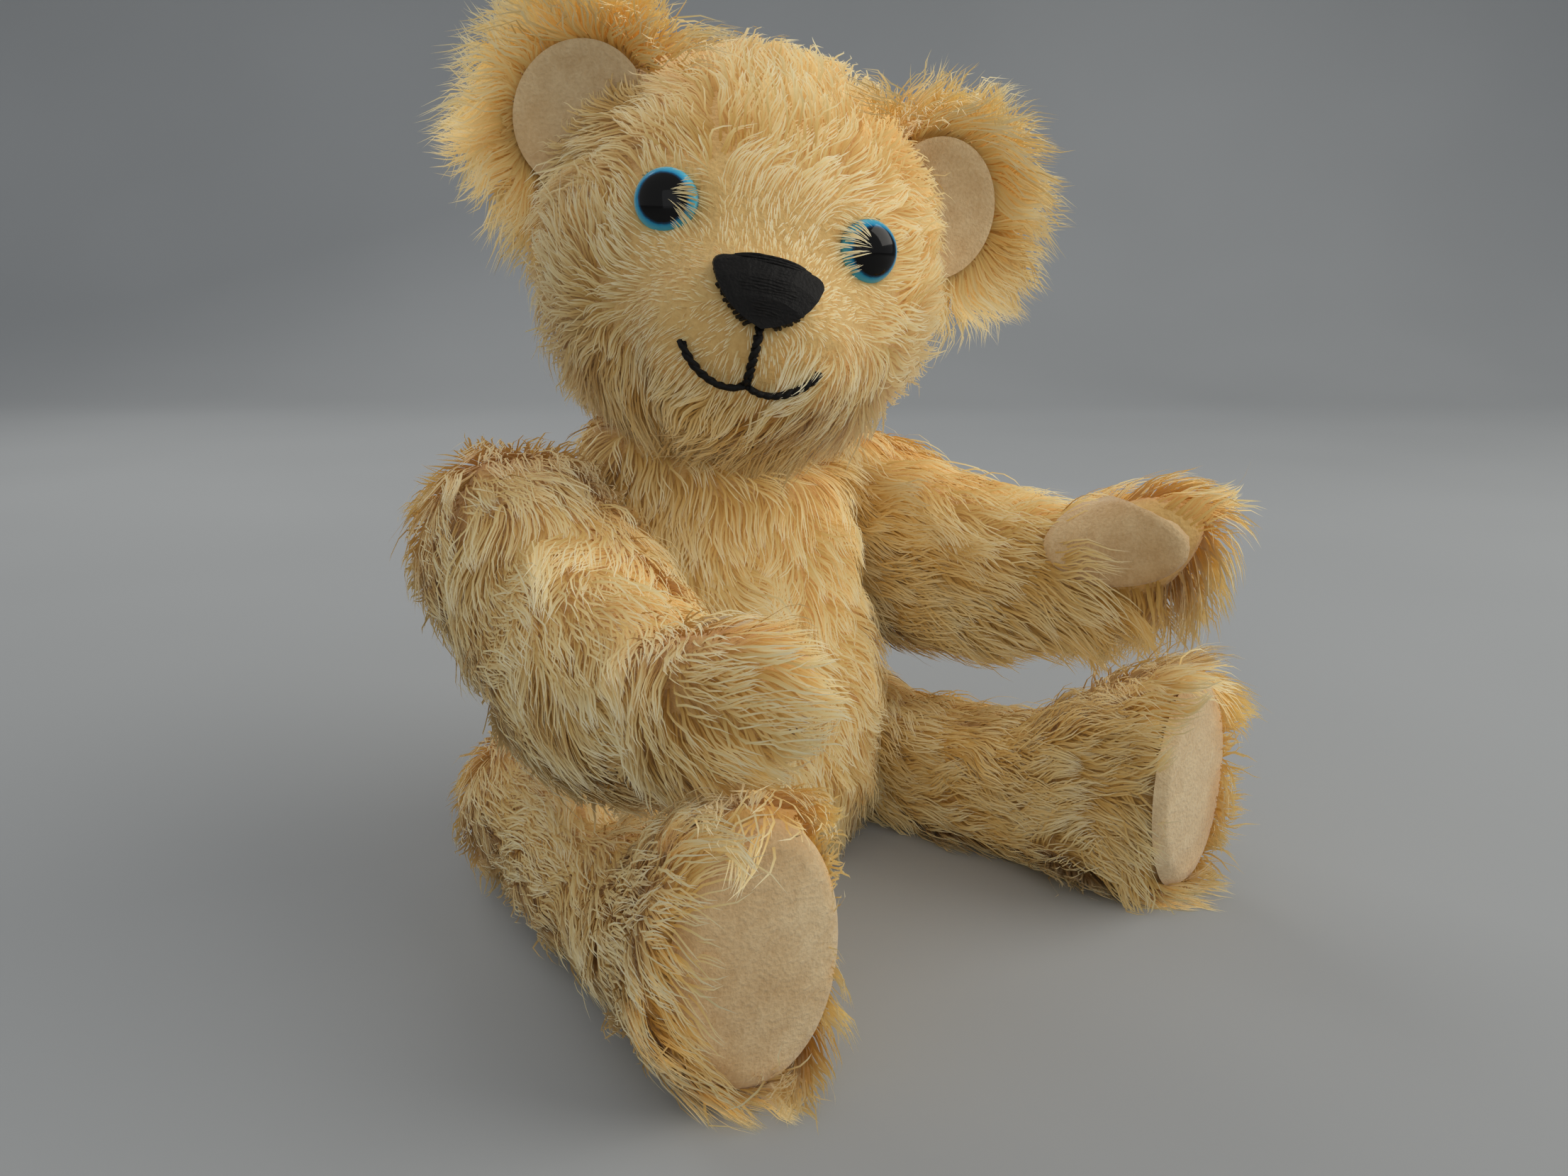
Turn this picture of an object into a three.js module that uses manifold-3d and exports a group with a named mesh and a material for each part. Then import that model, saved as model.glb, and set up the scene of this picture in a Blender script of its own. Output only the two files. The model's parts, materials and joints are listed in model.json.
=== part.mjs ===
// A jointed mohair teddy bear, seated. Millimetres; the origin is the middle of the flat seat, +Z is up,
// the bear faces -Y and its right side is at -X. The furry cases are measured over their pile.
import * as THREE from 'three';
import { mergeVertices } from 'three/addons/utils/BufferGeometryUtils.js';
import Module from 'manifold-3d';

const wasm = await Module();
wasm.setup();

// Torso: a pear-shaped case with a flat seat
const TORSO_HEIGHT = 93;
const SEAT_HALF_WIDTH = 31;
const SEAT_HALF_DEPTH = 29;
const BELLY_HALF_WIDTH = 37;
const BELLY_HALF_DEPTH = 36;
const BELLY_HEIGHT = 30;
const CHEST_HALF_WIDTH = 34;
const CHEST_HALF_DEPTH = 28;
const CHEST_HEIGHT = 68;
const NECK_RADIUS = 21;
const NECK_SETBACK = 3.5;

// Head: a rounded case with a short blunt muzzle, measured from the neck pin
const HEAD_HALF_WIDTH = 42;
const HEAD_HALF_HIGH = 42;
const HEAD_BACK = 38;
const HEAD_FRONT = 28;
const NECK_SINK = 6;
const MUZZLE_REACH = 25;
const MUZZLE_HALF_WIDTH = 21;
const MUZZLE_HALF_HIGH = 17;
const MUZZLE_DROP = 14;

// Face: glass eyes on wire shanks, a stitched nose and mouth
const EYE_RADIUS = 6;
const EYE_DOME = 4;
const EYE_RIM = 1.2;
const EYE_SHANK_RADIUS = 1.2;
const EYE_SHANK_LENGTH = 5;
const EYE_SPREAD = 19.3;
const EYE_HEIGHT = 43;
const EYE_TURN = 18;
const EYE_TILT = 6;
const EYE_FACETS = 14;
const NOSE_WIDTH = 20;
const NOSE_TALL = 11;
const NOSE_HEIGHT = 31;
const NOSE_THICK = 1.8;
const NOSE_SHOULDER = 0.2;
const NOSE_WAIST = 0.8;
const NOSE_FLAT = 0.6;
const THREAD_WIDTH = 1.8;
const THREAD_THICK = 1.1;
const MOUTH_HEIGHT = 15.5;
const SMILE_WIDTH = 13;
const SMILE_RISE = 6;

// Ears: cupped half rounds, a furry back with a felt lining
const EAR_RADIUS = 15;
const EAR_CUP = 24;
const EAR_BACK_THICK = 5;
const EAR_FRINGE = 6;
const FRINGE_EDGE = 1.2;
const EAR_UP = 29;
const EAR_SETBACK = 6;
const EAR_TURN = 22;
const EAR_FACETS = 16;
const FELT_THICK = 1.5;

// Arms: curved cases, measured forward from the shoulder pin
const ARM_LENGTH = 92;
const ARM_HEEL = 29;
const ARM_HALF_THICK = 18.5;
const ARM_HALF_HIGH = 21.5;
const WRIST_HALF_THICK = 13;
const WRIST_HALF_HIGH = 14;
const PAW_LENGTH = 26;
const PAW_HALF_THICK = 11;
const PAW_HALF_HIGH = 12;
const ARM_DROP = 3.5;
const ARM_SAG = 14;
const WRIST_SAG = 10;
const PAW_LIFT = 6;
const PAW_PAD_LENGTH = 32;
const PAW_PAD_HIGH = 18;

// Legs: straight cases with an upright sole, measured forward from the hip pin
const LEG_LENGTH = 94;
const LEG_HEEL = 20;
const THIGH_HALF_THICK = 17.5;
const THIGH_HALF_HIGH = 17;
const ANKLE_REACH = 46;
const ANKLE_HALF_THICK = 15.5;
const ANKLE_HALF_HIGH = 14.5;
const SOLE_HALF_WIDTH = 18.5;
const SOLE_HALF_HIGH = 26.5;
const SOLE_EDGE = 3.5;
const FLOOR_PRESS = 0.8;
const FOOT_PAD_WIDTH = 29;
const FOOT_PAD_HIGH = 45;

// Joints: where the pins stand, and how the bear sits in degrees
const SHOULDER_HEIGHT = 72;
const SHOULDER_INSET = 4.5;
const SHOULDER_SPLAY = 8;
const SHOULDER_TILT = 5;
const SHOULDER_TWIST = 6;
const HIP_HEIGHT = 19;
const HIP_INSET = 10.5;
const HIP_SPLAY = 10;
const NECK_LEAN_SIDE = 11;
const NECK_LEAN_FORWARD = 8;
const HEAD_TURN = -32;
const RIGHT_ARM_SWING = -4;
const LEFT_ARM_SWING = 0;

// Joint hardware: hardboard discs and steel washers on a split pin, which press each limb flat on the body
const JOINT_PRESS = 5;
const NECK_DISC_RADIUS = 14;
const SHOULDER_DISC_RADIUS = 10;
const HIP_DISC_RADIUS = 12;
const DISC_THICK = 2.5;
const WASHER_RADIUS = 5;
const WASHER_THICK = 0.9;
const PIN_WIRE = 1.4;
const PIN_EYE = 2;
const PIN_CURL = 2;
const PIN_SPREAD = 0.42;
const DISC_FACETS = 14;
const WASHER_FACETS = 10;
const POCKET_FACETS = 10;
const CLOTH_WALL = 2.2;
const CLEARANCE = 0.35;
const JOINT_GAP = 0.6;

// Pile: overlapping locks that stand out from the long-haired cases
const LOCK_HEIGHT = 2.2;
const LOCK_RINGS = 3;
const LOCK_VALLEY = 0.3;
const LOCK_FADE = 0.6;

const MOHAIR = new THREE.MeshStandardMaterial({ color: 0xdcb87e, roughness: 0.9 });
const FELT = new THREE.MeshStandardMaterial({ color: 0xd8b8a0, roughness: 1 });
const GLASS = new THREE.MeshStandardMaterial({ color: 0x2a5a9c, roughness: 0.08 });
const THREAD = new THREE.MeshStandardMaterial({ color: 0x17130f, roughness: 0.6 });
const HARDBOARD = new THREE.MeshStandardMaterial({ color: 0x7a5636, roughness: 0.8 });
const STEEL = new THREE.MeshStandardMaterial({ color: 0x9a9a98, roughness: 0.4, metalness: 1 });

const at = (x, y, z) => new THREE.Vector3(x, y, z);
const turned = (degrees) => THREE.MathUtils.degToRad(degrees);
const halfway = (a, b) => (a + b) / 2;

// A solid for cutting and joining, from any closed geometry put in place by a matrix
function solidOf(geometry, matrix = new THREE.Matrix4()) {
  const bare = new THREE.BufferGeometry();
  bare.setAttribute('position', geometry.getAttribute('position').clone());
  if (geometry.index) bare.setIndex(geometry.index.clone());
  const merged = mergeVertices(bare.applyMatrix4(matrix), 1e-4);
  const triVerts = new Uint32Array(merged.index.array);
  if (matrix.determinant() < 0) triVerts.reverse();
  const vertProperties = new Float32Array(merged.getAttribute('position').array);
  return new wasm.Manifold(new wasm.Mesh({ numProp: 3, vertProperties, triVerts }));
}

function geometryOf(solid) {
  const mesh = solid.getMesh();
  const geometry = new THREE.BufferGeometry();
  geometry.setAttribute('position', new THREE.BufferAttribute(mesh.vertProperties, 3));
  geometry.setIndex(new THREE.BufferAttribute(mesh.triVerts, 1));
  geometry.computeVertexNormals();
  return geometry;
}

function add(parent, name, solid, material) {
  const mesh = new THREE.Mesh(geometryOf(solid), material);
  mesh.name = name;
  parent.add(mesh);
}

// Staggered locks: each swells along its length and stops short where the next row begins
function locks(ring, side) {
  const stagger = (Math.floor(side / 2) % 2) * LOCK_RINGS / 2;
  const along = ((ring + stagger) % LOCK_RINGS) / (LOCK_RINGS - 1);
  const crown = side % 2 ? 1 : LOCK_VALLEY;
  return LOCK_HEIGHT * (along - halfway(0, 1)) * crown;
}

// How far a rounded end has opened, at a share of the length from that end
function domed(t, share) {
  const inward = share ? Math.max(0, 1 - t / share) : 0;
  return Math.sqrt(1 - inward * inward);
}

// Oval sections lofted along a smooth centre line; the ends are flat, or domed over a share of the length.
// Sections stand square to the line, or all face one way.
function loft({ stations, up, facing, sides, rings, startDome = 0, endDome = 0, pileFrom = 0, pileTo = 1 }) {
  const centre = new THREE.CatmullRomCurve3(stations.map((s) => s.at));
  const girth = new THREE.CatmullRomCurve3(stations.map((s) => at(s.across, s.high, 0)));
  const sections = [];
  for (let ring = 0; ring <= rings; ring++) {
    const even = ring / rings;
    const t = even - Math.sin(2 * Math.PI * even) / (4 * Math.PI);
    const along = facing || centre.getTangent(t);
    const aside = new THREE.Vector3().crossVectors(up, along).normalize();
    const upward = new THREE.Vector3().crossVectors(along, aside);
    const opened = Math.min(domed(t, startDome), domed(1 - t, endDome));
    const oval = girth.getPoint(t).multiplyScalar(opened);
    const section = [];
    for (let side = 0; side < sides; side++) {
      const angle = (2 * Math.PI * side) / sides;
      const proud = t >= pileFrom && t < pileTo && opened > LOCK_FADE ? locks(ring, side) : 0;
      section.push(centre.getPoint(t)
        .addScaledVector(aside, (oval.x + proud) * Math.cos(angle))
        .addScaledVector(upward, (oval.y + proud) * Math.sin(angle)));
    }
    sections.push(section);
  }
  return skinned(sections);
}

// Closes a row of sections into one surface, with a fan over each end
function skinned(sections) {
  const middle = (ring) => ring.reduce((sum, p) => sum.add(p), at(0, 0, 0)).divideScalar(ring.length);
  const [first, last] = [sections[0], sections[sections.length - 1]];
  const [start, end] = [middle(first), middle(last)];
  const corners = [];
  first.forEach((p, i) => corners.push(start, first[(i + 1) % first.length], p));
  last.forEach((p, i) => corners.push(end, p, last[(i + 1) % last.length]));
  sections.slice(1).forEach((ring, i) => {
    const before = sections[i];
    ring.forEach((p, side) => {
      const next = (side + 1) % ring.length;
      corners.push(before[side], before[next], ring[next], before[side], ring[next], p);
    });
  });
  return closed(new THREE.BufferGeometry().setFromPoints(corners));
}

// Merges shared corners and drops the faces that shrank to nothing at a pole
function closed(geometry) {
  const merged = mergeVertices(geometry, 1e-3);
  const index = merged.index.array;
  const kept = [];
  for (let i = 0; i < index.length; i += 3) {
    const [a, b, c] = index.slice(i, i + 3);
    if (a !== b && b !== c && c !== a) kept.push(a, b, c);
  }
  merged.setIndex(kept);
  return merged;
}

// The same surface moved out along its normals
function swollen(geometry, distance) {
  const copy = geometry.clone();
  copy.computeVertexNormals();
  const place = copy.getAttribute('position');
  const normal = copy.getAttribute('normal');
  const corner = new THREE.Vector3();
  const outward = new THREE.Vector3();
  for (let i = 0; i < place.count; i++) {
    corner.fromBufferAttribute(place, i).addScaledVector(outward.fromBufferAttribute(normal, i), distance);
    place.setXYZ(i, corner.x, corner.y, corner.z);
  }
  return copy;
}

// A patch of cloth or stitching that lies on a surface, inside an outline extruded through it
function patch(base, thick, outline, matrix) {
  const over = solidOf(swollen(base, CLEARANCE + thick));
  return over.intersect(solidOf(outline, matrix)).subtract(solidOf(swollen(base, CLEARANCE)));
}

// A flat outline given depth along +Z
function slab(shape, depth) {
  return new THREE.ExtrudeGeometry(shape, { depth, bevelEnabled: false, curveSegments: 6 });
}

function ovalShape(width, high) {
  return new THREE.Shape().absellipse(0, 0, width / 2, high / 2, 0, 2 * Math.PI);
}

// A turned piece: points of [radius, height] taken round the Z axis
function turnedPiece(profile, segments) {
  const points = profile.map(([radius, height]) => new THREE.Vector2(radius, height));
  const lathe = new THREE.LatheGeometry(points, segments).rotateX(Math.PI / 2);
  return closed(lathe.deleteAttribute('normal').deleteAttribute('uv'));
}

// Everything past a plane across the Z axis of a frame
function beyond(frame, offset) {
  const reach = 4 * TORSO_HEIGHT;
  const block = new THREE.BoxGeometry(reach, reach, reach).translate(0, 0, reach / 2 + offset);
  return solidOf(block, frame);
}

// A frame with Z along a given direction and X as near as can be to another
function frameAt(place, outward, ahead) {
  const y = new THREE.Vector3().crossVectors(outward, ahead).normalize();
  const x = new THREE.Vector3().crossVectors(y, outward).normalize();
  return new THREE.Matrix4().makeBasis(x, y, outward.clone().normalize()).setPosition(place);
}

// A right-hand joint's frame: Z out along the pin, X forward, Y up
function sideFrame(reach, height, splay, tilt) {
  const [back, rise] = [turned(splay), turned(tilt)];
  const level = at(-Math.cos(back), Math.sin(back), 0);
  const outward = level.clone().multiplyScalar(Math.cos(rise)).setZ(Math.sin(rise));
  const forward = at(-Math.sin(back), -Math.cos(back), 0);
  return frameAt(level.multiplyScalar(reach).setZ(height), outward, forward);
}

const mirrored = (frame) => new THREE.Matrix4().makeScale(-1, 1, 1).multiply(frame);
const turnedOver = new THREE.Matrix4().makeRotationX(Math.PI);
const neckLean = new THREE.Euler(turned(NECK_LEAN_FORWARD), turned(NECK_LEAN_SIDE), 0);
const neckFrame = new THREE.Matrix4().makeRotationFromEuler(neckLean)
  .setPosition(0, NECK_SETBACK, TORSO_HEIGHT);
const shoulderReach = CHEST_HALF_WIDTH - SHOULDER_INSET;
const shoulder = (splay) => sideFrame(shoulderReach, SHOULDER_HEIGHT, splay, SHOULDER_TILT);
const rightShoulder = shoulder(SHOULDER_SPLAY - SHOULDER_TWIST);
const leftShoulder = mirrored(shoulder(SHOULDER_SPLAY + SHOULDER_TWIST));
const rightHip = sideFrame(BELLY_HALF_WIDTH - HIP_INSET, HIP_HEIGHT, HIP_SPLAY, 0);

const teddy = new THREE.Group();

// A group placed at a joint, holding what stays on the body, with a second group inside for what turns
function jointGroups(frame, swing) {
  const fixed = new THREE.Group();
  fixed.applyMatrix4(frame);
  const turning = new THREE.Group();
  turning.rotation.z = turned(swing);
  teddy.add(fixed.add(turning));
  return { fixed, turning };
}

// Where the parts of a joint lie along its pin, out from the plane between body and limb
const POCKET_FACE = JOINT_GAP / 2 + CLOTH_WALL;
const DISC_FACE = POCKET_FACE + CLEARANCE;
const WASHER_FACE = DISC_FACE + DISC_THICK + CLEARANCE;
const PIN_FACE = WASHER_FACE + WASHER_THICK + CLEARANCE;
const PIN_END = PIN_FACE + 2 * Math.max(PIN_EYE, PIN_CURL) + 2 * PIN_WIRE;
const PIN_HOLE = PIN_WIRE + CLEARANCE;

// The hollow inside a case for one disc, its washer and the end of the pin, open along the pin hole
function pocket(disc) {
  const crown = Math.max(WASHER_RADIUS, 2 * PIN_CURL + 2 * PIN_WIRE, PIN_EYE + PIN_WIRE) + CLEARANCE;
  const wide = Math.max(disc, crown) + CLEARANCE;
  const round = Math.cos(Math.PI / POCKET_FACETS);
  const profile = [
    [0, -JOINT_GAP], [PIN_HOLE, -JOINT_GAP], [PIN_HOLE, POCKET_FACE], [wide, POCKET_FACE],
    [wide, WASHER_FACE], [crown, WASHER_FACE], [crown, PIN_END + CLEARANCE], [0, PIN_END + CLEARANCE],
  ];
  return turnedPiece(profile.map(([radius, height]) => [radius / round, height]), POCKET_FACETS);
}

function flatRing(outer, low, thick, segments) {
  const [inner, high] = [PIN_HOLE, low + thick];
  const section = [[inner, low], [outer, low], [outer, high], [inner, high], [inner, low]];
  return solidOf(turnedPiece(section, segments));
}

// One leg of the split pin: round its eye, down the shank, then curled back under the body washer
function pinLeg(matrix) {
  const half = PIN_WIRE * PIN_SPREAD;
  const eye = PIN_FACE + PIN_EYE + PIN_WIRE / 2;
  const curl = -PIN_FACE - PIN_WIRE / 2;
  const route = [];
  for (const angle of [90, 45, 0, -45]) {
    route.push(at(PIN_EYE * Math.cos(turned(angle)), 0, eye + PIN_EYE * Math.sin(turned(angle))));
  }
  route.push(at(half, 0, WASHER_FACE), at(half, 0, 0), at(half, 0, -WASHER_FACE), at(half, 0, curl));
  for (const angle of [230, 290, 350]) {
    const across = half + PIN_CURL + PIN_CURL * Math.cos(turned(angle));
    route.push(at(across, 0, curl + PIN_CURL * Math.sin(turned(angle))));
  }
  const wire = new THREE.Shape().absarc(0, 0, PIN_WIRE / 2, 0, 2 * Math.PI);
  const extrudePath = new THREE.CatmullRomCurve3(route);
  const sweep = { extrudePath, steps: 9, curveSegments: 3, bevelEnabled: false };
  return solidOf(new THREE.ExtrudeGeometry(wire, sweep), matrix);
}

// A joint's five pieces: the limb's disc and washer turn with it, the rest stay on the body
function hardware(name, { fixed, turning }, disc) {
  const board = (low) => flatRing(disc, low, DISC_THICK, DISC_FACETS);
  const washer = (low) => flatRing(WASHER_RADIUS, low, WASHER_THICK, WASHER_FACETS);
  add(turning, `${name}_limb_disc`, board(DISC_FACE), HARDBOARD);
  add(turning, `${name}_limb_washer`, washer(WASHER_FACE), STEEL);
  add(fixed, `${name}_body_disc`, board(-DISC_FACE - DISC_THICK), HARDBOARD);
  add(fixed, `${name}_body_washer`, washer(-WASHER_FACE - WASHER_THICK), STEEL);
  const twin = new THREE.Matrix4().makeRotationZ(Math.PI);
  add(fixed, `${name}_pin`, pinLeg().add(pinLeg(twin)), STEEL);
}

// The torso, cut flat at each joint and hollowed for its disc
function torso() {
  const base = loft({
    stations: [
      { at: at(0, 0, 0), across: SEAT_HALF_WIDTH, high: SEAT_HALF_DEPTH },
      { at: at(0, 0, BELLY_HEIGHT), across: BELLY_HALF_WIDTH, high: BELLY_HALF_DEPTH },
      { at: at(0, NECK_SETBACK / 2, CHEST_HEIGHT), across: CHEST_HALF_WIDTH, high: CHEST_HALF_DEPTH },
      { at: at(0, NECK_SETBACK, TORSO_HEIGHT + NECK_RADIUS), across: NECK_RADIUS, high: NECK_RADIUS },
    ],
    up: at(0, -1, 0), facing: at(0, 0, 1), sides: 20, rings: 15, pileFrom: 0.03,
  });
  const joints = [
    [neckFrame, NECK_DISC_RADIUS],
    [rightShoulder, SHOULDER_DISC_RADIUS], [leftShoulder, SHOULDER_DISC_RADIUS],
    [rightHip, HIP_DISC_RADIUS], [mirrored(rightHip), HIP_DISC_RADIUS],
  ];
  let body = solidOf(base);
  for (const [frame] of joints) body = body.subtract(beyond(frame, -JOINT_GAP / 2));
  for (const [frame, disc] of joints) {
    body = body.subtract(solidOf(pocket(disc), frame.clone().multiply(turnedOver)));
  }
  add(teddy, 'torso', body, MOHAIR);
}

// A case in its joint's own frame, cut flat where it meets the body and hollowed for its disc
function jointedCase(base, disc) {
  return solidOf(base).subtract(beyond(turnedOver, -JOINT_GAP / 2)).subtract(solidOf(pocket(disc)));
}

function arm(side, frame, swing) {
  const depth = ARM_HALF_THICK + JOINT_GAP / 2;
  const pressed = depth - JOINT_PRESS;
  const wrist = ARM_LENGTH - PAW_LENGTH;
  const base = loft({
    stations: [
      { at: at(-ARM_HEEL, -ARM_DROP, pressed), across: ARM_HALF_THICK, high: ARM_HALF_HIGH },
      { at: at(0, -ARM_DROP, pressed), across: ARM_HALF_THICK, high: ARM_HALF_HIGH },
      { at: at(wrist / 2, -ARM_SAG, halfway(pressed, depth)), across: ARM_HALF_THICK, high: ARM_HALF_HIGH },
      { at: at(wrist, -WRIST_SAG, depth), across: WRIST_HALF_THICK, high: WRIST_HALF_HIGH },
      { at: at(ARM_LENGTH, PAW_LIFT, depth), across: PAW_HALF_THICK, high: PAW_HALF_HIGH },
    ],
    up: at(0, 1, 0), sides: 20, rings: 15, startDome: 0.2, endDome: 0.2, pileTo: 0.7,
  });
  const groups = jointGroups(frame, swing);
  add(groups.turning, `${side}_arm`, jointedCase(base, SHOULDER_DISC_RADIUS), MOHAIR);
  const palm = slab(ovalShape(PAW_PAD_LENGTH, PAW_PAD_HIGH), depth);
  const reach = ARM_LENGTH - PAW_PAD_LENGTH / 2 - FELT_THICK;
  const palmFrame = new THREE.Matrix4().setPosition(reach, halfway(PAW_LIFT, -WRIST_SAG), 0);
  add(groups.turning, `${side}_paw_pad`, patch(base, FELT_THICK, palm, palmFrame), FELT);
  hardware(`${side}_shoulder`, groups, SHOULDER_DISC_RADIUS);
}

function leg(side, frame) {
  const depth = THIGH_HALF_THICK + JOINT_GAP / 2 - JOINT_PRESS;
  const floor = -HIP_HEIGHT - FLOOR_PRESS;
  const [thigh, ankle, sole] = [THIGH_HALF_HIGH, ANKLE_HALF_HIGH, SOLE_HALF_HIGH];
  const [rimWide, rimHigh] = [SOLE_HALF_WIDTH - SOLE_EDGE, sole - SOLE_EDGE];
  const base = loft({
    stations: [
      { at: at(-LEG_HEEL, floor + thigh, depth), across: THIGH_HALF_THICK, high: thigh },
      { at: at(0, floor + thigh, depth), across: THIGH_HALF_THICK, high: thigh },
      { at: at(ANKLE_REACH, floor + ankle, depth), across: ANKLE_HALF_THICK, high: ankle },
      { at: at(LEG_LENGTH - SOLE_EDGE, floor + sole, depth), across: SOLE_HALF_WIDTH, high: sole },
      { at: at(LEG_LENGTH, floor + sole, depth), across: rimWide, high: rimHigh },
    ],
    up: at(0, 1, 0), facing: at(1, 0, 0), sides: 20, rings: 15, startDome: 0.25, pileTo: 0.75,
  });
  const groups = jointGroups(frame, 0);
  const underFloor = new THREE.Matrix4().makeRotationX(Math.PI / 2).setPosition(0, -HIP_HEIGHT, 0);
  const seated = jointedCase(base, HIP_DISC_RADIUS).subtract(beyond(underFloor, 0));
  add(groups.turning, `${side}_leg`, seated, MOHAIR);
  const pad = slab(ovalShape(FOOT_PAD_WIDTH, FOOT_PAD_HIGH), 2 * FELT_THICK);
  const padFrame = new THREE.Matrix4().makeRotationY(Math.PI / 2)
    .setPosition(LEG_LENGTH, floor + sole, depth);
  add(groups.turning, `${side}_foot_pad`, patch(base, FELT_THICK, pad, padFrame), FELT);
  hardware(`${side}_hip`, groups, HIP_DISC_RADIUS);
}

function headCase() {
  const middle = HEAD_HALF_HIGH - NECK_SINK;
  const low = middle - MUZZLE_DROP;
  const tip = -HEAD_FRONT - MUZZLE_REACH;
  const cheek = {
    at: at(0, -HEAD_FRONT, halfway(middle, low)),
    across: halfway(HEAD_HALF_WIDTH, MUZZLE_HALF_WIDTH), high: halfway(HEAD_HALF_HIGH, MUZZLE_HALF_HIGH),
  };
  return loft({
    stations: [
      { at: at(0, HEAD_BACK, middle), across: HEAD_HALF_WIDTH, high: HEAD_HALF_HIGH },
      { at: at(0, HEAD_BACK / 2, middle), across: HEAD_HALF_WIDTH, high: HEAD_HALF_HIGH },
      { at: at(0, 0, middle), across: HEAD_HALF_WIDTH, high: HEAD_HALF_HIGH },
      cheek,
      { at: at(0, halfway(-HEAD_FRONT, tip), low), across: MUZZLE_HALF_WIDTH, high: MUZZLE_HALF_HIGH },
      { at: at(0, tip, low), across: MUZZLE_HALF_WIDTH, high: MUZZLE_HALF_HIGH },
    ],
    up: at(0, 0, 1), facing: at(0, -1, 0), sides: 24, rings: 20, startDome: 0.4, endDome: 0.2, pileTo: 0.5,
  });
}

// Where a straight line from inside a case meets its surface
function surfaceFrom(base, inside, direction) {
  const both = new THREE.MeshBasicMaterial({ side: THREE.DoubleSide });
  return new THREE.Raycaster(inside, direction).intersectObject(new THREE.Mesh(base, both))[0].point;
}

// A glass eye: a dome over a flat back, with a shank that is sewn into the head
function eyePiece(grow, frame) {
  const [radius, shank] = [EYE_RADIUS + grow, EYE_SHANK_RADIUS + grow];
  const [bottom, back] = [-EYE_RIM - EYE_SHANK_LENGTH - grow, -EYE_RIM - grow];
  const dome = [0, 30, 55, 75].map(turned)
    .map((angle) => [radius * Math.cos(angle), (EYE_DOME + grow) * Math.sin(angle)]);
  const stem = [[0, bottom], [shank, bottom], [shank, back], [radius, back]];
  const profile = [...stem, ...dome, [0, EYE_DOME + grow]];
  return solidOf(turnedPiece(profile, EYE_FACETS), frame);
}

// A cap of a spherical wall round the origin, with its hollow towards +Z and a fringe flared out from its rim
function cupPiece(inner, thick, fringe, frame) {
  const widest = Math.asin(EAR_RADIUS / EAR_CUP);
  const arc = (radius) => [0, 0.4, 0.75, 1].map((share) => share * widest)
    .map((angle) => [radius * Math.sin(angle), -radius * Math.cos(angle)]);
  const reach = (inner + thick) * Math.sin(widest) + fringe;
  const level = -(inner + thick / 2) * Math.cos(widest);
  const rim = fringe ? [[reach, level - FRINGE_EDGE], [reach, level + FRINGE_EDGE]] : [];
  return solidOf(turnedPiece([...arc(inner + thick), ...rim, ...arc(inner).reverse()], EAR_FACETS), frame);
}

// The nose: broad and flat at the top, drawn in to a blunt point
function noseShape() {
  const [half, top] = [NOSE_WIDTH / 2, NOSE_HEIGHT + NOSE_TALL / 2];
  const [shoulder, waist] = [top - NOSE_TALL * NOSE_SHOULDER, top - NOSE_TALL * NOSE_WAIST];
  const flat = half * NOSE_FLAT;
  const shape = new THREE.Shape();
  shape.moveTo(-half, shoulder);
  shape.quadraticCurveTo(-half * NOSE_WAIST, waist, 0, top - NOSE_TALL);
  shape.quadraticCurveTo(half * NOSE_WAIST, waist, half, shoulder);
  shape.quadraticCurveTo(half, top, flat, top);
  shape.lineTo(-flat, top);
  shape.quadraticCurveTo(-half, top, -half, shoulder);
  return shape;
}

function centreStitch() {
  const [half, top] = [THREAD_WIDTH / 2, NOSE_HEIGHT - NOSE_TALL / 2 - CLEARANCE];
  const corners = [[-half, MOUTH_HEIGHT], [half, MOUTH_HEIGHT], [half, top], [-half, top]];
  return new THREE.Shape(corners.map(([x, y]) => new THREE.Vector2(x, y)));
}

// One half of the mouth, rising to the side from under the centre stitch
function smileStitch(sign) {
  const [inner, outer] = [sign * CLEARANCE / 2, sign * SMILE_WIDTH];
  const high = MOUTH_HEIGHT - CLEARANCE;
  const low = high - THREAD_WIDTH;
  const shape = new THREE.Shape();
  shape.moveTo(inner, low);
  shape.quadraticCurveTo(halfway(inner, outer), low, outer, low + SMILE_RISE);
  shape.lineTo(outer, high + SMILE_RISE);
  shape.quadraticCurveTo(halfway(inner, outer), high, inner, high);
  return shape;
}

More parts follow.
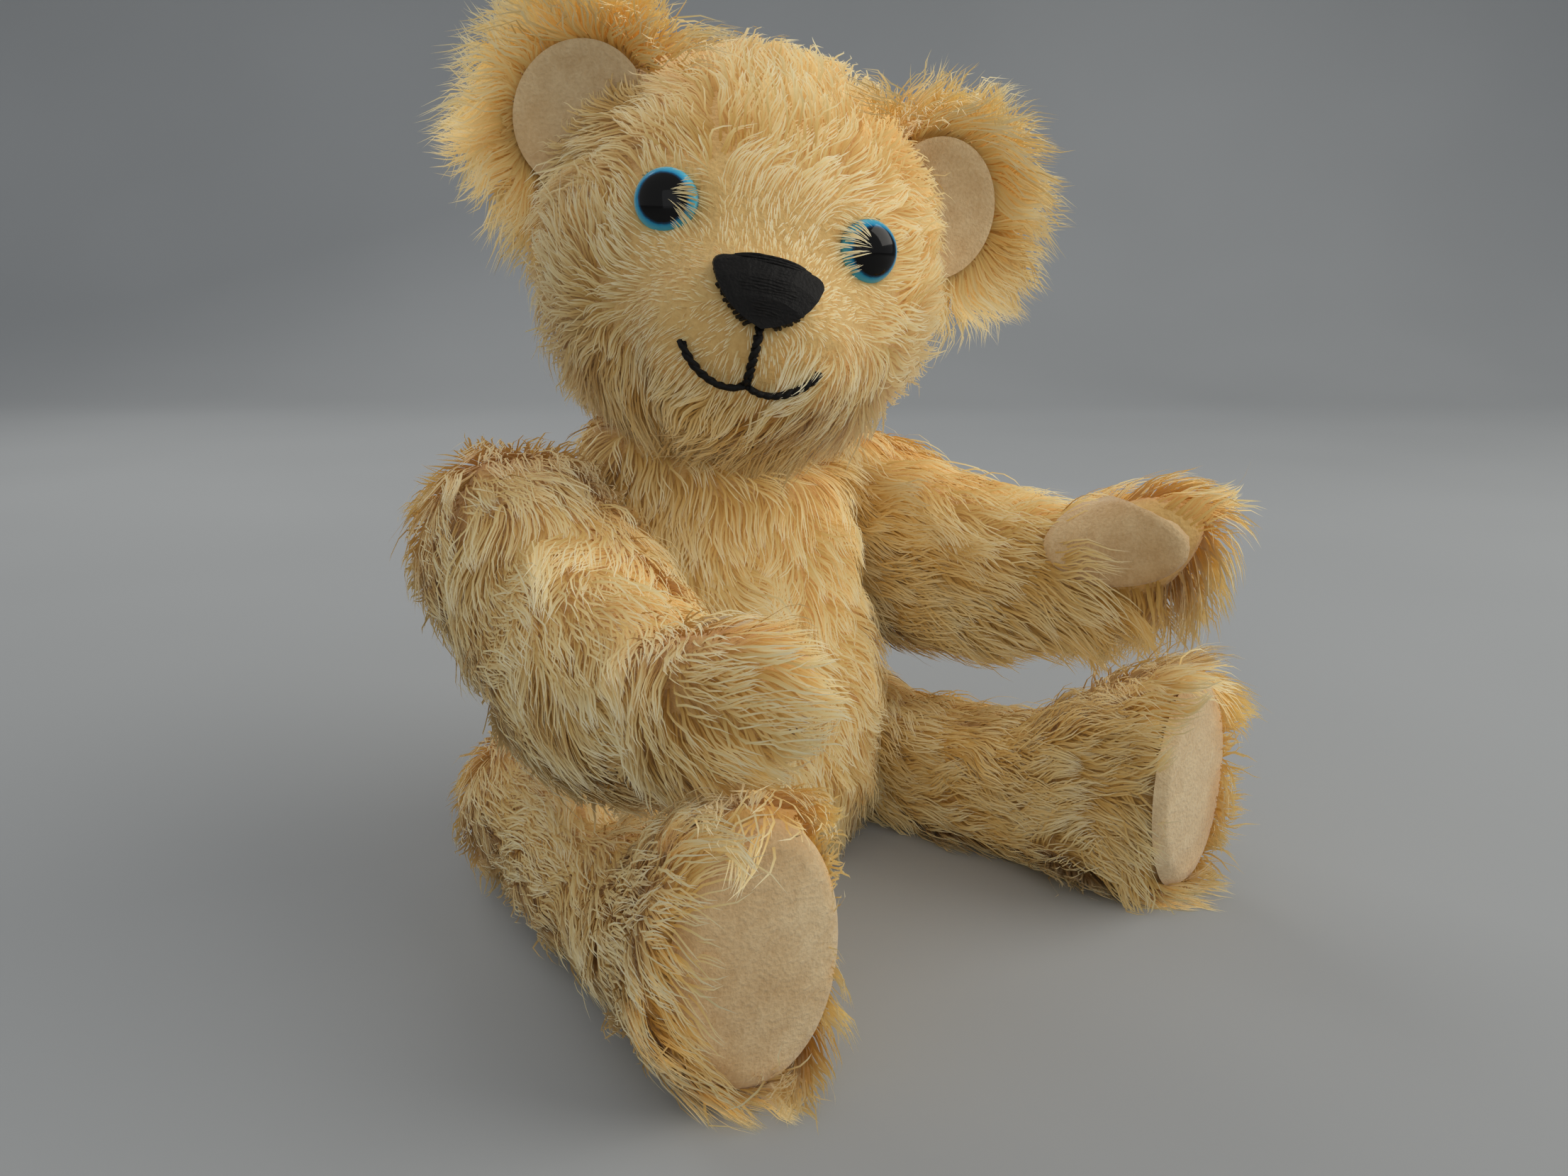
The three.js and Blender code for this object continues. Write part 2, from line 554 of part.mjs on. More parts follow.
function head() {
  const base = headCase();
  const groups = jointGroups(neckFrame, HEAD_TURN);
  const put = (name, solid, material) => add(groups.turning, name, solid, material);
  const sides = [['right', -1], ['left', 1]];
  let skull = jointedCase(base, NECK_DISC_RADIUS);

  // Eyes sit in sockets, looking forward and a little to the side
  for (const [side, sign] of sides) {
    const seat = surfaceFrom(base, at(sign * EYE_SPREAD, 0, EYE_HEIGHT), at(0, -1, 0));
    const look = at(sign * Math.tan(turned(EYE_TURN)), -1, Math.tan(turned(EYE_TILT)));
    const frame = frameAt(seat, look, at(1, 0, 0));
    put(`${side}_eye`, eyePiece(0, frame), GLASS);
    skull = skull.subtract(eyePiece(CLEARANCE, frame));
  }
  put('head', skull, MOHAIR);

  // The nose and mouth lie on the muzzle, as outlines drawn from the front
  const facing = new THREE.Matrix4().makeRotationX(Math.PI / 2);
  const stitched = (shape, thick) => patch(base, thick, slab(shape, 2 * (HEAD_FRONT + MUZZLE_REACH)), facing);
  put('nose', stitched(noseShape(), NOSE_THICK), THREAD);
  put('mouth_centre_stitch', stitched(centreStitch(), THREAD_THICK), THREAD);
  for (const [side, sign] of sides) {
    put(`${side}_mouth_stitch`, stitched(smileStitch(sign), THREAD_THICK), THREAD);
  }

  // Ears stand on the sides of the head, cupped forward
  const overHead = solidOf(swollen(base, CLEARANCE));
  for (const [side, sign] of sides) {
    const rise = turned(EAR_UP);
    const inside = at(0, EAR_SETBACK, HEAD_HALF_HIGH - NECK_SINK);
    const root = surfaceFrom(base, inside, at(sign * Math.cos(rise), 0, Math.sin(rise)));
    const open = at(sign * Math.sin(turned(EAR_TURN)), -Math.cos(turned(EAR_TURN)), 0);
    const frame = frameAt(root.addScaledVector(open, EAR_CUP), open, at(1, 0, 0));
    const back = cupPiece(EAR_CUP + CLEARANCE, EAR_BACK_THICK, EAR_FRINGE, frame);
    const lining = cupPiece(EAR_CUP - FELT_THICK, FELT_THICK, 0, frame);
    put(`${side}_ear`, back.subtract(overHead), MOHAIR);
    put(`${side}_ear_lining`, lining.subtract(overHead), FELT);
  }
  hardware('neck', groups, NECK_DISC_RADIUS);
}

torso();
head();
arm('right', rightShoulder, RIGHT_ARM_SWING);
arm('left', leftShoulder, LEFT_ARM_SWING);
leg('right', rightHip);
leg('left', mirrored(rightHip));

export default teddy;
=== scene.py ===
# %% [markdown]
# # A jointed mohair teddy bear
# The bear is made of stuffed cases of long-haired mohair cloth. The head, arms and legs turn on discs
# that are hidden inside the cases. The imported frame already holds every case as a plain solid, so this
# lesson only adds what the eye sees: the cloth, the pile that grows from it, the felt, the glass and
# the thread.

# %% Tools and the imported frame
import json
import math

import bmesh
import bpy
import numpy as np
from mathutils import Matrix, Vector
from mathutils.bvhtree import BVHTree


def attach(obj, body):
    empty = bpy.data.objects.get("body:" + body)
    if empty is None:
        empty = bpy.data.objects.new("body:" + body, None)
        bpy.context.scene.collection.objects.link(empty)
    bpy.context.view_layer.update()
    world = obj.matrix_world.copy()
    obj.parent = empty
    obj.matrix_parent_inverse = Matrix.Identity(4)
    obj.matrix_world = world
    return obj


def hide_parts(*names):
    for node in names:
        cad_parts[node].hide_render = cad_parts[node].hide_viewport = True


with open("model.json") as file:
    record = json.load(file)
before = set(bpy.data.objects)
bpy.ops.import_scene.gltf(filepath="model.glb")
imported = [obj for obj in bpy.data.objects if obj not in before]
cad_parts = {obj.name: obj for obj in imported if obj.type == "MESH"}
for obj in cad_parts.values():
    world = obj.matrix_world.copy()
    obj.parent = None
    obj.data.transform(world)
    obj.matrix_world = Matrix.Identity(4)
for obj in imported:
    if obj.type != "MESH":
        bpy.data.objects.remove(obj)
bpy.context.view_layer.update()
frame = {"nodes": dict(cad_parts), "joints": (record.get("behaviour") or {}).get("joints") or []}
nodes = frame["nodes"]
MM = 0.001


def put(name, data):
    """A new object of that name in the scene."""
    made = bpy.data.objects.new(name, data)
    bpy.context.scene.collection.objects.link(made)
    return made


# %% [markdown]
# ## Light and viewpoint
# The bear is looked at from a little above and from its right front, at arm's length. A lens of about
# 30 mm gives the strong perspective of a close view: the near foot looks large. Broad lamps keep the
# light soft. The lamp on the bear's left is warm and much the stronger, so the bear's right side falls
# into shade.

# %% Camera
CAMERA_PLACE = (-166.7, -229.6, 129.0)
CAMERA_TILT, CAMERA_TURN = 76, -39
SENSOR = 36
LENS = SENSOR * 1880 / 2212
camera = put("camera", bpy.data.cameras.new("camera"))
camera.location = Vector(CAMERA_PLACE) * MM
camera.rotation_euler = (math.radians(CAMERA_TILT), 0, math.radians(CAMERA_TURN))
camera.data.sensor_width = SENSOR
camera.data.lens = LENS
camera.data.clip_start = 0.01
bpy.context.scene.camera = camera
bpy.context.scene.view_settings.view_transform = "Standard"
print("camera: lens", round(LENS, 1), "mm")


# %% Lamps and sky
LAMPS_AIM = Vector((0, 0, 0.08))


def lamp(name, place, size, power, colour):
    light = bpy.data.lights.new(name, "AREA")
    light.size = size
    light.energy = power
    light.color = colour
    holder = put(name, light)
    holder.location = place
    holder.rotation_euler = (LAMPS_AIM - Vector(place)).to_track_quat("-Z", "Y").to_euler()


lamp("window_lamp", (0.75, -0.6, 0.8), 1.0, 7.4, (1.0, 0.96, 0.88))
lamp("shade_lamp", (-0.5, -0.75, 0.3), 0.8, 0.8, (0.96, 0.98, 1.0))
lamp("back_lamp", (0.1, 0.8, 0.75), 0.6, 2.8, (1.0, 0.97, 0.92))
sky = bpy.data.worlds.new("sky")
sky.use_nodes = True
backdrop = sky.node_tree.nodes["Background"]
backdrop.inputs["Color"].default_value = (0.95, 0.97, 1.0, 1)
backdrop.inputs["Strength"].default_value = 0.42
bpy.context.scene.world = sky


# %% [markdown]
# ## Writing finishes as sums
# A material is a net of small nodes. Drawing that net by hand is slow to read, so a socket is wrapped
# in a class that understands plus and times. `0.6 * weave + 0.4 * cloud` then adds three Math nodes.
# Every other node comes from one method, which takes its type, its settings and what goes into its
# sockets.

# %% Socket arithmetic
class Wire:
    """One output of a node, for use in Python sums."""

    def __init__(self, finish, socket):
        self.finish = finish
        self.socket = socket

    def sum(self, operation, first, second):
        return self.finish.node("ShaderNodeMath", {"operation": operation}, {0: first, 1: second})

    def __add__(self, other):
        return self.sum("ADD", self, other)

    def __radd__(self, other):
        return self.sum("ADD", other, self)

    def __mul__(self, other):
        return self.sum("MULTIPLY", self, other)

    def __rmul__(self, other):
        return self.sum("MULTIPLY", other, self)


# %% Finishes
class Finish:
    """A material around one Principled shader."""

    def __init__(self, name, **plain):
        self.material = bpy.data.materials.new(name)
        self.material.use_nodes = True
        self.tree = self.material.node_tree
        self.shader = self.tree.nodes["Principled BSDF"]
        for socket, value in plain.items():
            self.set(socket.replace("_", " "), value)

    def set(self, socket, value):
        self.feed(self.shader.inputs[socket], value)

    def feed(self, socket, value):
        if isinstance(value, Wire):
            self.tree.links.new(value.socket, socket)
        else:
            socket.default_value = value

    def node(self, kind, settings=None, sockets=None, out=0):
        made = self.tree.nodes.new(kind)
        for name, value in (settings or {}).items():
            if name == "stops":
                self.stops(made.color_ramp.elements, value)
            else:
                setattr(made, name, value)
        for name, value in (sockets or {}).items():
            self.feed(made.inputs[name], value)
        return Wire(self, made.outputs[out])

    def stops(self, elements, wanted):
        while len(elements) < len(wanted):
            elements.new(1)
        for element, (place, colour) in zip(elements, wanted):
            element.position = place
            element.color = colour

    def ramp(self, value, *stops):
        return self.node("ShaderNodeValToRGB", {"stops": stops}, {"Fac": value})

    def mix(self, factor, one, other, how="MIX"):
        settings = {"data_type": "RGBA", "blend_type": how}
        return self.node("ShaderNodeMix", settings, {0: factor, 6: one, 7: other}, out=2)

    def noise(self, place, scale, detail=2):
        return self.node("ShaderNodeTexNoise", None, {"Vector": place, "Scale": scale, "Detail": detail})

    def bump(self, height, depth):
        sockets = {"Height": height, "Distance": depth, "Strength": 1}
        self.set("Normal", self.node("ShaderNodeBump", None, sockets))


def paint(red, green, blue):
    """A colour as a paint chart gives it, 0 to 255, for a node socket."""
    def straight(value):
        share = value / 255
        return share / 12.92 if share <= 0.04045 else ((share + 0.055) / 1.055) ** 2.4
    return (straight(red), straight(green), straight(blue), 1)


print("white as a socket holds it:", paint(255, 255, 255))

# %% [markdown]
# ## The grey floor
# A floor that bends up into a back wall has no line behind the bear. It is a strip of mesh: a flat run,
# a quarter turn and a straight rise, drawn out sideways. It lies square to the view.

# %% Floor
floor_finish = Finish("grey_floor", Roughness=0.9)
floor_place = floor_finish.node("ShaderNodeTexCoord", out=3)
floor_cloud = floor_finish.noise(floor_place, 3)
floor_finish.set("Base Color", floor_finish.ramp(
    floor_cloud, (0.3, paint(160, 163, 165)), (0.7, paint(166, 169, 171))))
FLOOR_FRONT, BEND_AT, BEND, WALL_TOP, FLOOR_HALF = -2.5, 0.9, 0.5, 2.5, 4
turn = np.linspace(0.1, math.pi / 2, 14)
profile = [(FLOOR_FRONT, 0.0), (BEND_AT, 0.0)]
profile += [(BEND_AT + BEND * math.sin(a), BEND - BEND * math.cos(a)) for a in turn]
profile += [(BEND_AT + BEND, WALL_TOP)]
along = Vector((-math.sin(math.radians(CAMERA_TURN)), math.cos(math.radians(CAMERA_TURN)), 0))
aside = Vector((along.y, -along.x, 0))
edges = (-FLOOR_HALF, FLOOR_HALF)
strip = [tuple(along * y + aside * x + Vector((0, 0, z))) for y, z in profile for x in edges]
floor_mesh = bpy.data.meshes.new("floor")
floor_mesh.from_pydata(strip, [], [(2 * i, 2 * i + 1, 2 * i + 3, 2 * i + 2) for i in range(len(profile) - 1)])
floor_mesh.shade_smooth()
floor_mesh.materials.append(floor_finish.material)
floor = put("floor", floor_mesh)
print("floor:", len(floor_mesh.polygons), "faces")

# %% [markdown]
# ## Frames of the joints
# Each limb is easiest to think about on its own: forward along the limb, up, and out from the body. The
# frames below repeat how the bear sits, so that a point given for a limb lands in the right place on
# the seated bear.

# %% Limb frames
HEAD_NOD, HEAD_TILT, HEAD_TURN = 8, 11, -32
RIGHT_ARM_SWING = -4


def basis(place, x, y, z):
    made = np.eye(4)
    made[:3, 0], made[:3, 1], made[:3, 2], made[:3, 3] = x, y, z, place
    return made


def turned(degrees, axis):
    return np.array(Matrix.Rotation(math.radians(degrees), 4, axis))


joint_at = {j["name"][:-5]: np.array(j["pos_m"]) / MM for j in frame["joints"]}
joint_axis = {j["name"][:-5]: np.array(j["axis"]) for j in frame["joints"]}
joint_out = {}
for name, axis in joint_axis.items():
    away = axis[2] if name == "neck" else axis[0] * joint_at[name][0]
    joint_out[name] = axis * math.copysign(1, away)


def limb_frame(name, swing):
    """X forward along the limb, Y up, Z out from the torso, in millimetres."""
    out = joint_out[name]
    side = math.copysign(1, joint_at[name][0])
    forward = np.array([-out[1] * side, out[0] * side, 0.0]) * -1
    forward = forward / np.linalg.norm(forward)
    up = np.cross(out, forward) * -side
    c, s = math.cos(math.radians(swing)), math.sin(math.radians(swing))
    return basis(joint_at[name], c * forward + s * up, c * up - s * forward, out)


head_frame = basis(joint_at["neck"], (1, 0, 0), (0, 1, 0), (0, 0, 1))
head_frame = head_frame @ turned(HEAD_NOD, "X") @ turned(HEAD_TILT, "Y") @ turned(HEAD_TURN, "Z")
limb_frames = {
    "right_arm": limb_frame("right_shoulder", RIGHT_ARM_SWING),
    "left_arm": limb_frame("left_shoulder", 0),
    "right_leg": limb_frame("right_hip", 0),
    "left_leg": limb_frame("left_hip", 0),
}


def into(matrix, points):
    """Points of the seated bear in a limb's own frame."""
    return (points - matrix[:3, 3]) @ matrix[:3, :3]


def out_of(matrix, points):
    """Points of a limb's own frame on the seated bear."""
    return np.asarray(points) @ matrix[:3, :3].T + matrix[:3, 3]


for name, matrix in limb_frames.items():
    print(name, "reaches to", np.round(out_of(matrix, (90, 0, 11)), 1))

# %% [markdown]
# ## From a solid to a sewn case
# The solid of each case has a hollow for its joint disc, and it stands at the mean height of the pile.
# The cloth lies deeper. The pin hole is opened out, which frees the hollow from the outer skin, and the
# skin is closed again. Remeshing it to even small faces and smoothing it gives a soft case. Cloth
# simulation could puff it up too, but the bear is stuffed hard and the pile hides its cloth, so the
# shape is simply taken over.

# %% Case surfaces
PIN_REACH, PIN_RADIUS = 0.004, 0.0026


class Case:
    """The smooth outer skin of a case: points, triangles and normals, in millimetres."""

    def __init__(self, mesh):
        count = len(mesh.vertices)
        self.points = np.empty(count * 3, np.float32)
        self.normals = np.empty(count * 3, np.float32)
        mesh.vertices.foreach_get("co", self.points)
        mesh.vertices.foreach_get("normal", self.normals)
        self.points = self.points.reshape(-1, 3).astype(float) / MM
        self.normals = self.normals.reshape(-1, 3).astype(float)
        mesh.calc_loop_triangles()
        self.faces = np.empty(len(mesh.loop_triangles) * 3, np.int32)
        mesh.loop_triangles.foreach_get("vertices", self.faces)
        self.faces = self.faces.reshape(-1, 3)
        self.tree = BVHTree.FromPolygons(self.points.tolist(), self.faces.tolist())

    def sunk(self, depth):
        return self.points - self.normals * np.asarray(depth).reshape(-1, 1)

    def meet(self, start, direction):
        """Where a line from start first meets the skin, and the normal there."""
        place, normal, _, _ = self.tree.ray_cast(Vector(start), Vector(direction).normalized())
        return (np.array(place), np.array(normal)) if place else (None, None)


def outer_skin(node, pins):
    """A bmesh of the node without its hollows."""
    bm = bmesh.new()
    bm.from_mesh(nodes[node].data)
    bmesh.ops.remove_doubles(bm, verts=bm.verts, dist=1e-6)
    hole = set()
    for pin in pins:
        place, axis = Vector(joint_at[pin] * MM), Vector(joint_axis[pin])
        for vert in bm.verts:
            along = (vert.co - place).dot(axis)
            if abs(along) < PIN_REACH and (vert.co - place - axis * along).length < PIN_RADIUS:
                hole.add(vert)
    bmesh.ops.delete(bm, geom=list(hole), context="VERTS")
    islands, seen = [], set()
    for first in bm.faces:
        if first in seen:
            continue
        island, wave = [], [first]
        seen.add(first)
        while wave:
            face = wave.pop()
            island.append(face)
            for near in (f for e in face.edges for f in e.link_faces if f not in seen):
                seen.add(near)
                wave.append(near)
        islands.append(island)
    islands.sort(key=lambda island: sum(f.calc_area() for f in island))
    bmesh.ops.delete(bm, geom=[f for island in islands[:-1] for f in island], context="FACES")
    bmesh.ops.holes_fill(bm, edges=[e for e in bm.edges if e.is_boundary], sides=0)
    return bm


def case_of(node, pins, voxel, passes, shaped=None):
    """The soft case of a node. A point can be moved on the way by a function of its own."""
    bm = outer_skin(node, pins)
    rough = bpy.data.meshes.new(node + "_rough")
    bm.to_mesh(rough)
    bm.free()
    holder = put(node + "_rough", rough)
    remesh = holder.modifiers.new("remesh", "REMESH")
    remesh.mode = "VOXEL"
    remesh.voxel_size = voxel * MM
    smooth = holder.modifiers.new("smooth", "SMOOTH")
    smooth.factor = 0.5
    smooth.iterations = passes
    done = holder.evaluated_get(bpy.context.evaluated_depsgraph_get()).to_mesh()
    if shaped:
        for vert in done.vertices:
            vert.co = Vector(shaped(np.array(vert.co) / MM) * MM)
        done.update()
    case = Case(done)
    bpy.data.objects.remove(holder)
    bpy.data.meshes.remove(rough)
    print(node, "case:", len(case.faces), "faces")
    return case


LIMBS = {"right_arm": "right_shoulder", "left_arm": "left_shoulder",
         "right_leg": "right_hip", "left_leg": "left_hip"}
cases = {limb: case_of(limb, [pin], 2.2, 12) for limb, pin in LIMBS.items()}
cases["torso"] = case_of("torso", list(joint_at), 2.4, 14)
cases["head"] = case_of("head", ["neck"], 2.0, 10)

# %% [markdown]
# ## The mohair finishes
# Each hair of the pile is deeper in colour at its root and paler towards the tip. This is partly the hair's
# own colour and partly painted light: the pile casts no shadow, so its deep, saturated roots are painted
# shade, and its pale tips are partly a painted glow of light through the hair. Each hair of the pile is a
# narrow strip of mesh with its own place on a UV map: across the map runs the tone of the lock, and up the
# map runs the way from root to tip. Two ramps colour every hair.
# A fine wave across the map draws several thin streaks on each strip, so that one strip reads as a few
# hairs. The cloth under the pile is a plain woven ground in the same yellow.

# %% Mohair pile finish
STREAKS = 470
pile_finish = Finish("mohair_pile", Roughness=0.62, Sheen_Weight=0.35, Sheen_Roughness=0.4)
pile_finish.set("Specular IOR Level", 0.3)
pile_finish.set("Sheen Tint", paint(255, 240, 210))
pile_map = pile_finish.node("ShaderNodeUVMap", {"uv_map": "OFBake"})
lock_tone = pile_finish.node("ShaderNodeSeparateXYZ", None, {"Vector": pile_map})
along_hair = Wire(pile_finish, lock_tone.socket.node.outputs[1])
# Both ramps run from root to tip: the darker roots are painted shade within the pile and the pale tips are
# partly painted light, over the hair's own colour.
deep_hair_shaded_root = pile_finish.ramp(along_hair, (0.0, paint(200, 148, 64)), (0.35, paint(222, 178, 94)),
                             (0.7, paint(240, 210, 140)), (1.0, paint(248, 232, 184)))
pale_hair_shaded_root = pile_finish.ramp(along_hair, (0.0, paint(212, 168, 86)), (0.35, paint(236, 204, 132)),
                             (0.7, paint(248, 232, 180)), (1.0, paint(254, 248, 222)))
fine_hair = pile_finish.node("ShaderNodeMath", {"operation": "SINE"}, {0: lock_tone * STREAKS})
pile_finish.set("Base Color", pile_finish.mix(lock_tone + 0.3 * fine_hair, deep_hair_shaded_root, pale_hair_shaded_root))
print("pile finish:", len(pile_finish.tree.nodes), "nodes")

# %% Mohair cloth finish
cloth_finish = Finish("mohair_cloth", Roughness=0.9, Sheen_Weight=0.2)
cloth_place = cloth_finish.node("ShaderNodeTexCoord", out=3)
cloth_weave = cloth_finish.noise(cloth_place, 900, 3)
cloth_cloud = cloth_finish.noise(cloth_place, 60)
cloth_finish.set("Base Color", cloth_finish.ramp(
    0.6 * cloth_weave + 0.4 * cloth_cloud, (0.3, paint(212, 168, 96)), (0.7, paint(234, 198, 128))))
cloth_finish.bump(cloth_weave, 0.0004)
print("cloth finish:", len(cloth_finish.tree.nodes), "nodes")


# %% [markdown]
# ## Growing the pile
# Blender has a hair system, but its curves don't travel with an exported model, so each hair here is a
# tapered strip of mesh. Real mohair hangs in locks: neighbouring hairs share one wavy path and run
# together at their tips. So the direction, the lift and the wave of a hair follow a smooth wander over
# the skin, which neighbours share, and then each hair is drawn some way towards the head of its lock. A
# few strays are left out of it. A plan says, for any spot on a case, how long the pile is, which way it
# is brushed, and where none grows. Mohair lets light through, and strips of mesh don't, so the pile
# casts no shadow and the cases under it do.

# %% Paths of hairs
STEPS = 5


def unit(vectors):
    return vectors / np.maximum(np.linalg.norm(vectors, axis=-1, keepdims=True), 1e-9)


def ease(low, high, value):
    share = np.clip((value - low) / (high - low), 0, 1)
    return share * share * (3 - 2 * share)


def drift(points, seed, span):
    """A smooth wander over the skin, mostly within -1 to 1, that changes over a span in millimetres."""
    chance = np.random.default_rng(seed)
    total = np.zeros(len(points))
    for _ in range(5):
        heading = unit(chance.normal(0, 1, 3))
        pace = 2 * np.pi / (span * chance.uniform(0.7, 1.6))
        total += np.sin(points @ heading * pace + chance.uniform(0, 2 * np.pi))
    return total / 2.2


def spots(case, depth, count, chance):
    """Random places on the sunk skin, with their normals."""
    skin = case.sunk(depth)
    corners = skin[case.faces]
    sizes = np.linalg.norm(np.cross(corners[:, 1] - corners[:, 0], corners[:, 2] - corners[:, 0]), axis=1) / 2
    picked = chance.choice(len(sizes), count, p=sizes / sizes.sum())
    a, b = chance.random(count), chance.random(count)
    fold = a + b > 1
    a[fold], b[fold] = 1 - a[fold], 1 - b[fold]
    shares = np.stack([1 - a - b, a, b], 1)[:, :, None]
    places = (corners[picked] * shares).sum(1)
    normals = unit((case.normals[case.faces[picked]] * shares).sum(1))
    return places, normals


def hair_paths(places, normals, plan, seed, chance):
    """The path of each hair, root first. Neighbours share the wander of the locks."""
    count = len(places)
    brushed = unit(plan["brushed"] - normals * (plan["brushed"] * normals).sum(1, keepdims=True))
    side = np.cross(normals, brushed)
    stray = plan["stray"] * (drift(places, seed, 26) + 0.18 * chance.normal(0, 1, count))
    brushed = brushed * np.cos(stray)[:, None] + side * np.sin(stray)[:, None]
    side = np.cross(normals, brushed)
    length = plan["length"] * chance.uniform(0.6, 1.12, count)
    lift = plan["lift"] * (1 + 0.35 * drift(places, seed + 1, 14) + 0.12 * chance.normal(0, 1, count))
    lift = np.where(chance.random(count) < 0.06, 1.6 * lift + 0.2, lift)
    down = np.array([0, 0, -1.0])
    path = np.zeros((count, STEPS + 1, 3))
    path[:, 0] = places
    for step in range(1, STEPS + 1):
        share = (step - 0.5) / STEPS
        upright = lift * (1 - share) + plan["lay"] * share
        heading = normals * upright[:, None] + brushed + down * (plan["droop"] * share)[:, None]
        path[:, step] = path[:, step - 1] + unit(heading) * (length / STEPS)[:, None]
    shares = np.linspace(0, 1, STEPS + 1)
    pace = 2 * np.pi * length / (14 + 2 * drift(places, seed + 2, 25))
    start = 4 * drift(places, seed + 3, 24) + 0.2 * chance.normal(0, 1, count)
    swing = plan["wave"] * chance.uniform(0.6, 1.2, count)
    turns = shares[None, :] * pace[:, None] + start[:, None]
    fade = np.minimum(1, 2 * shares)[None, :] * swing[:, None]
    sway = (np.sin(turns) - np.sin(start)[:, None]) * fade
    bob = 0.35 * (np.cos(turns) - np.cos(start)[:, None]) * fade
    return path + side[:, None, :] * sway[:, :, None] + normals[:, None, :] * bob[:, :, None]


# %% Hairs as strips
def hair_strips(paths, normals, width, tone, fullness, chance):
    """Points, corners, UV places and normals of tapered strips along the paths."""
    count = len(paths)
    run = unit(np.gradient(paths, axis=1))
    across = unit(np.cross(run, normals[:, None, :]))
    face_out = np.cross(across, run)
    roll = chance.normal(0, 0.4, count)[:, None, None]
    across = across * np.cos(roll) + face_out * np.sin(roll)
    shares = np.linspace(0, 1, STEPS + 1)
    taper = (0.5 * width)[:, None] * (1 - 0.7 * shares ** 2)[None, :]
    left = paths - across * taper[:, :, None]
    right = paths + across * taper[:, :, None]
    pairs = np.stack([left, right], 2)[:, :STEPS].reshape(count, -1, 3)
    points = np.concatenate([pairs, paths[:, STEPS:]], 1)
    size = 2 * STEPS + 1
    quads = [[2 * k, 2 * k + 1, 2 * k + 3, 2 * k + 2] for k in range(STEPS - 1)]
    tip = [2 * STEPS - 2, 2 * STEPS - 1, 2 * STEPS]
    corners = np.array([c for quad in quads for c in quad] + tip)
    loops = (np.arange(count) * size)[:, None] + corners[None, :]
    ups = np.concatenate([np.repeat(shares[:STEPS], 2), [1.0]])
    sides = np.concatenate([np.tile([-1.0, 1.0], STEPS), [0.0]])
    across_map = np.clip(tone, 0.03, 0.97)[:, None] + 0.018 * sides[None, :]
    # Up the map runs root to tip, which the pile finish paints from shaded root to lit tip. A hair that is
    # less than full takes only the tip end of the ramp, so it carries less painted shade.
    up_map = 1 - (1 - ups)[None, :] * fullness[:, None]
    uv = np.stack([across_map, 0.02 + 0.96 * up_map], -1)
    soft = unit(normals[:, None, :] + np.cross(across, run) * 0.1 + run * 0.1)
    soft = np.concatenate([np.repeat(soft[:, :STEPS], 2, axis=1), soft[:, STEPS:]], 1)
    return points.reshape(-1, 3), loops.reshape(-1), uv.reshape(-1, 2), soft.reshape(-1, 3)


def hair_mesh(name, points, loops, uv, soft):
    hairs = len(points) // (2 * STEPS + 1)
    mesh = bpy.data.meshes.new(name)
    mesh.vertices.add(len(points))
    mesh.vertices.foreach_set("co", (points * MM).astype(np.float32).ravel())
    mesh.loops.add(len(loops))
    mesh.loops.foreach_set("vertex_index", loops.astype(np.int32))
    totals = np.tile([4] * (STEPS - 1) + [3], hairs)
    mesh.polygons.add(len(totals))
    mesh.polygons.foreach_set("loop_start", np.concatenate([[0], np.cumsum(totals)[:-1]]).astype(np.int32))
    mesh.update(calc_edges=True)
    mesh.uv_layers.new(name="OFBake").data.foreach_set("uv", uv[loops].astype(np.float32).ravel())
    mesh.shade_smooth()
    mesh.normals_split_custom_set_from_vertices(soft.astype(np.float32))
    return mesh


# %% Sewing a case with its pile
HAIRS_TO_A_LOCK = 20
STRAYS = 0.12
FULL_LENGTH = 13
FLOOR_GAP = 0.25


def nearest(points, guides):
    """The lock that each hair belongs to."""
    found = np.empty(len(points), int)
    for start in range(0, len(points), 2000):
        part = points[start:start + 2000]
        gaps = ((part[:, None, :] - guides[None, :, :]) ** 2).sum(2)
        found[start:start + 2000] = gaps.argmin(1)
    return found


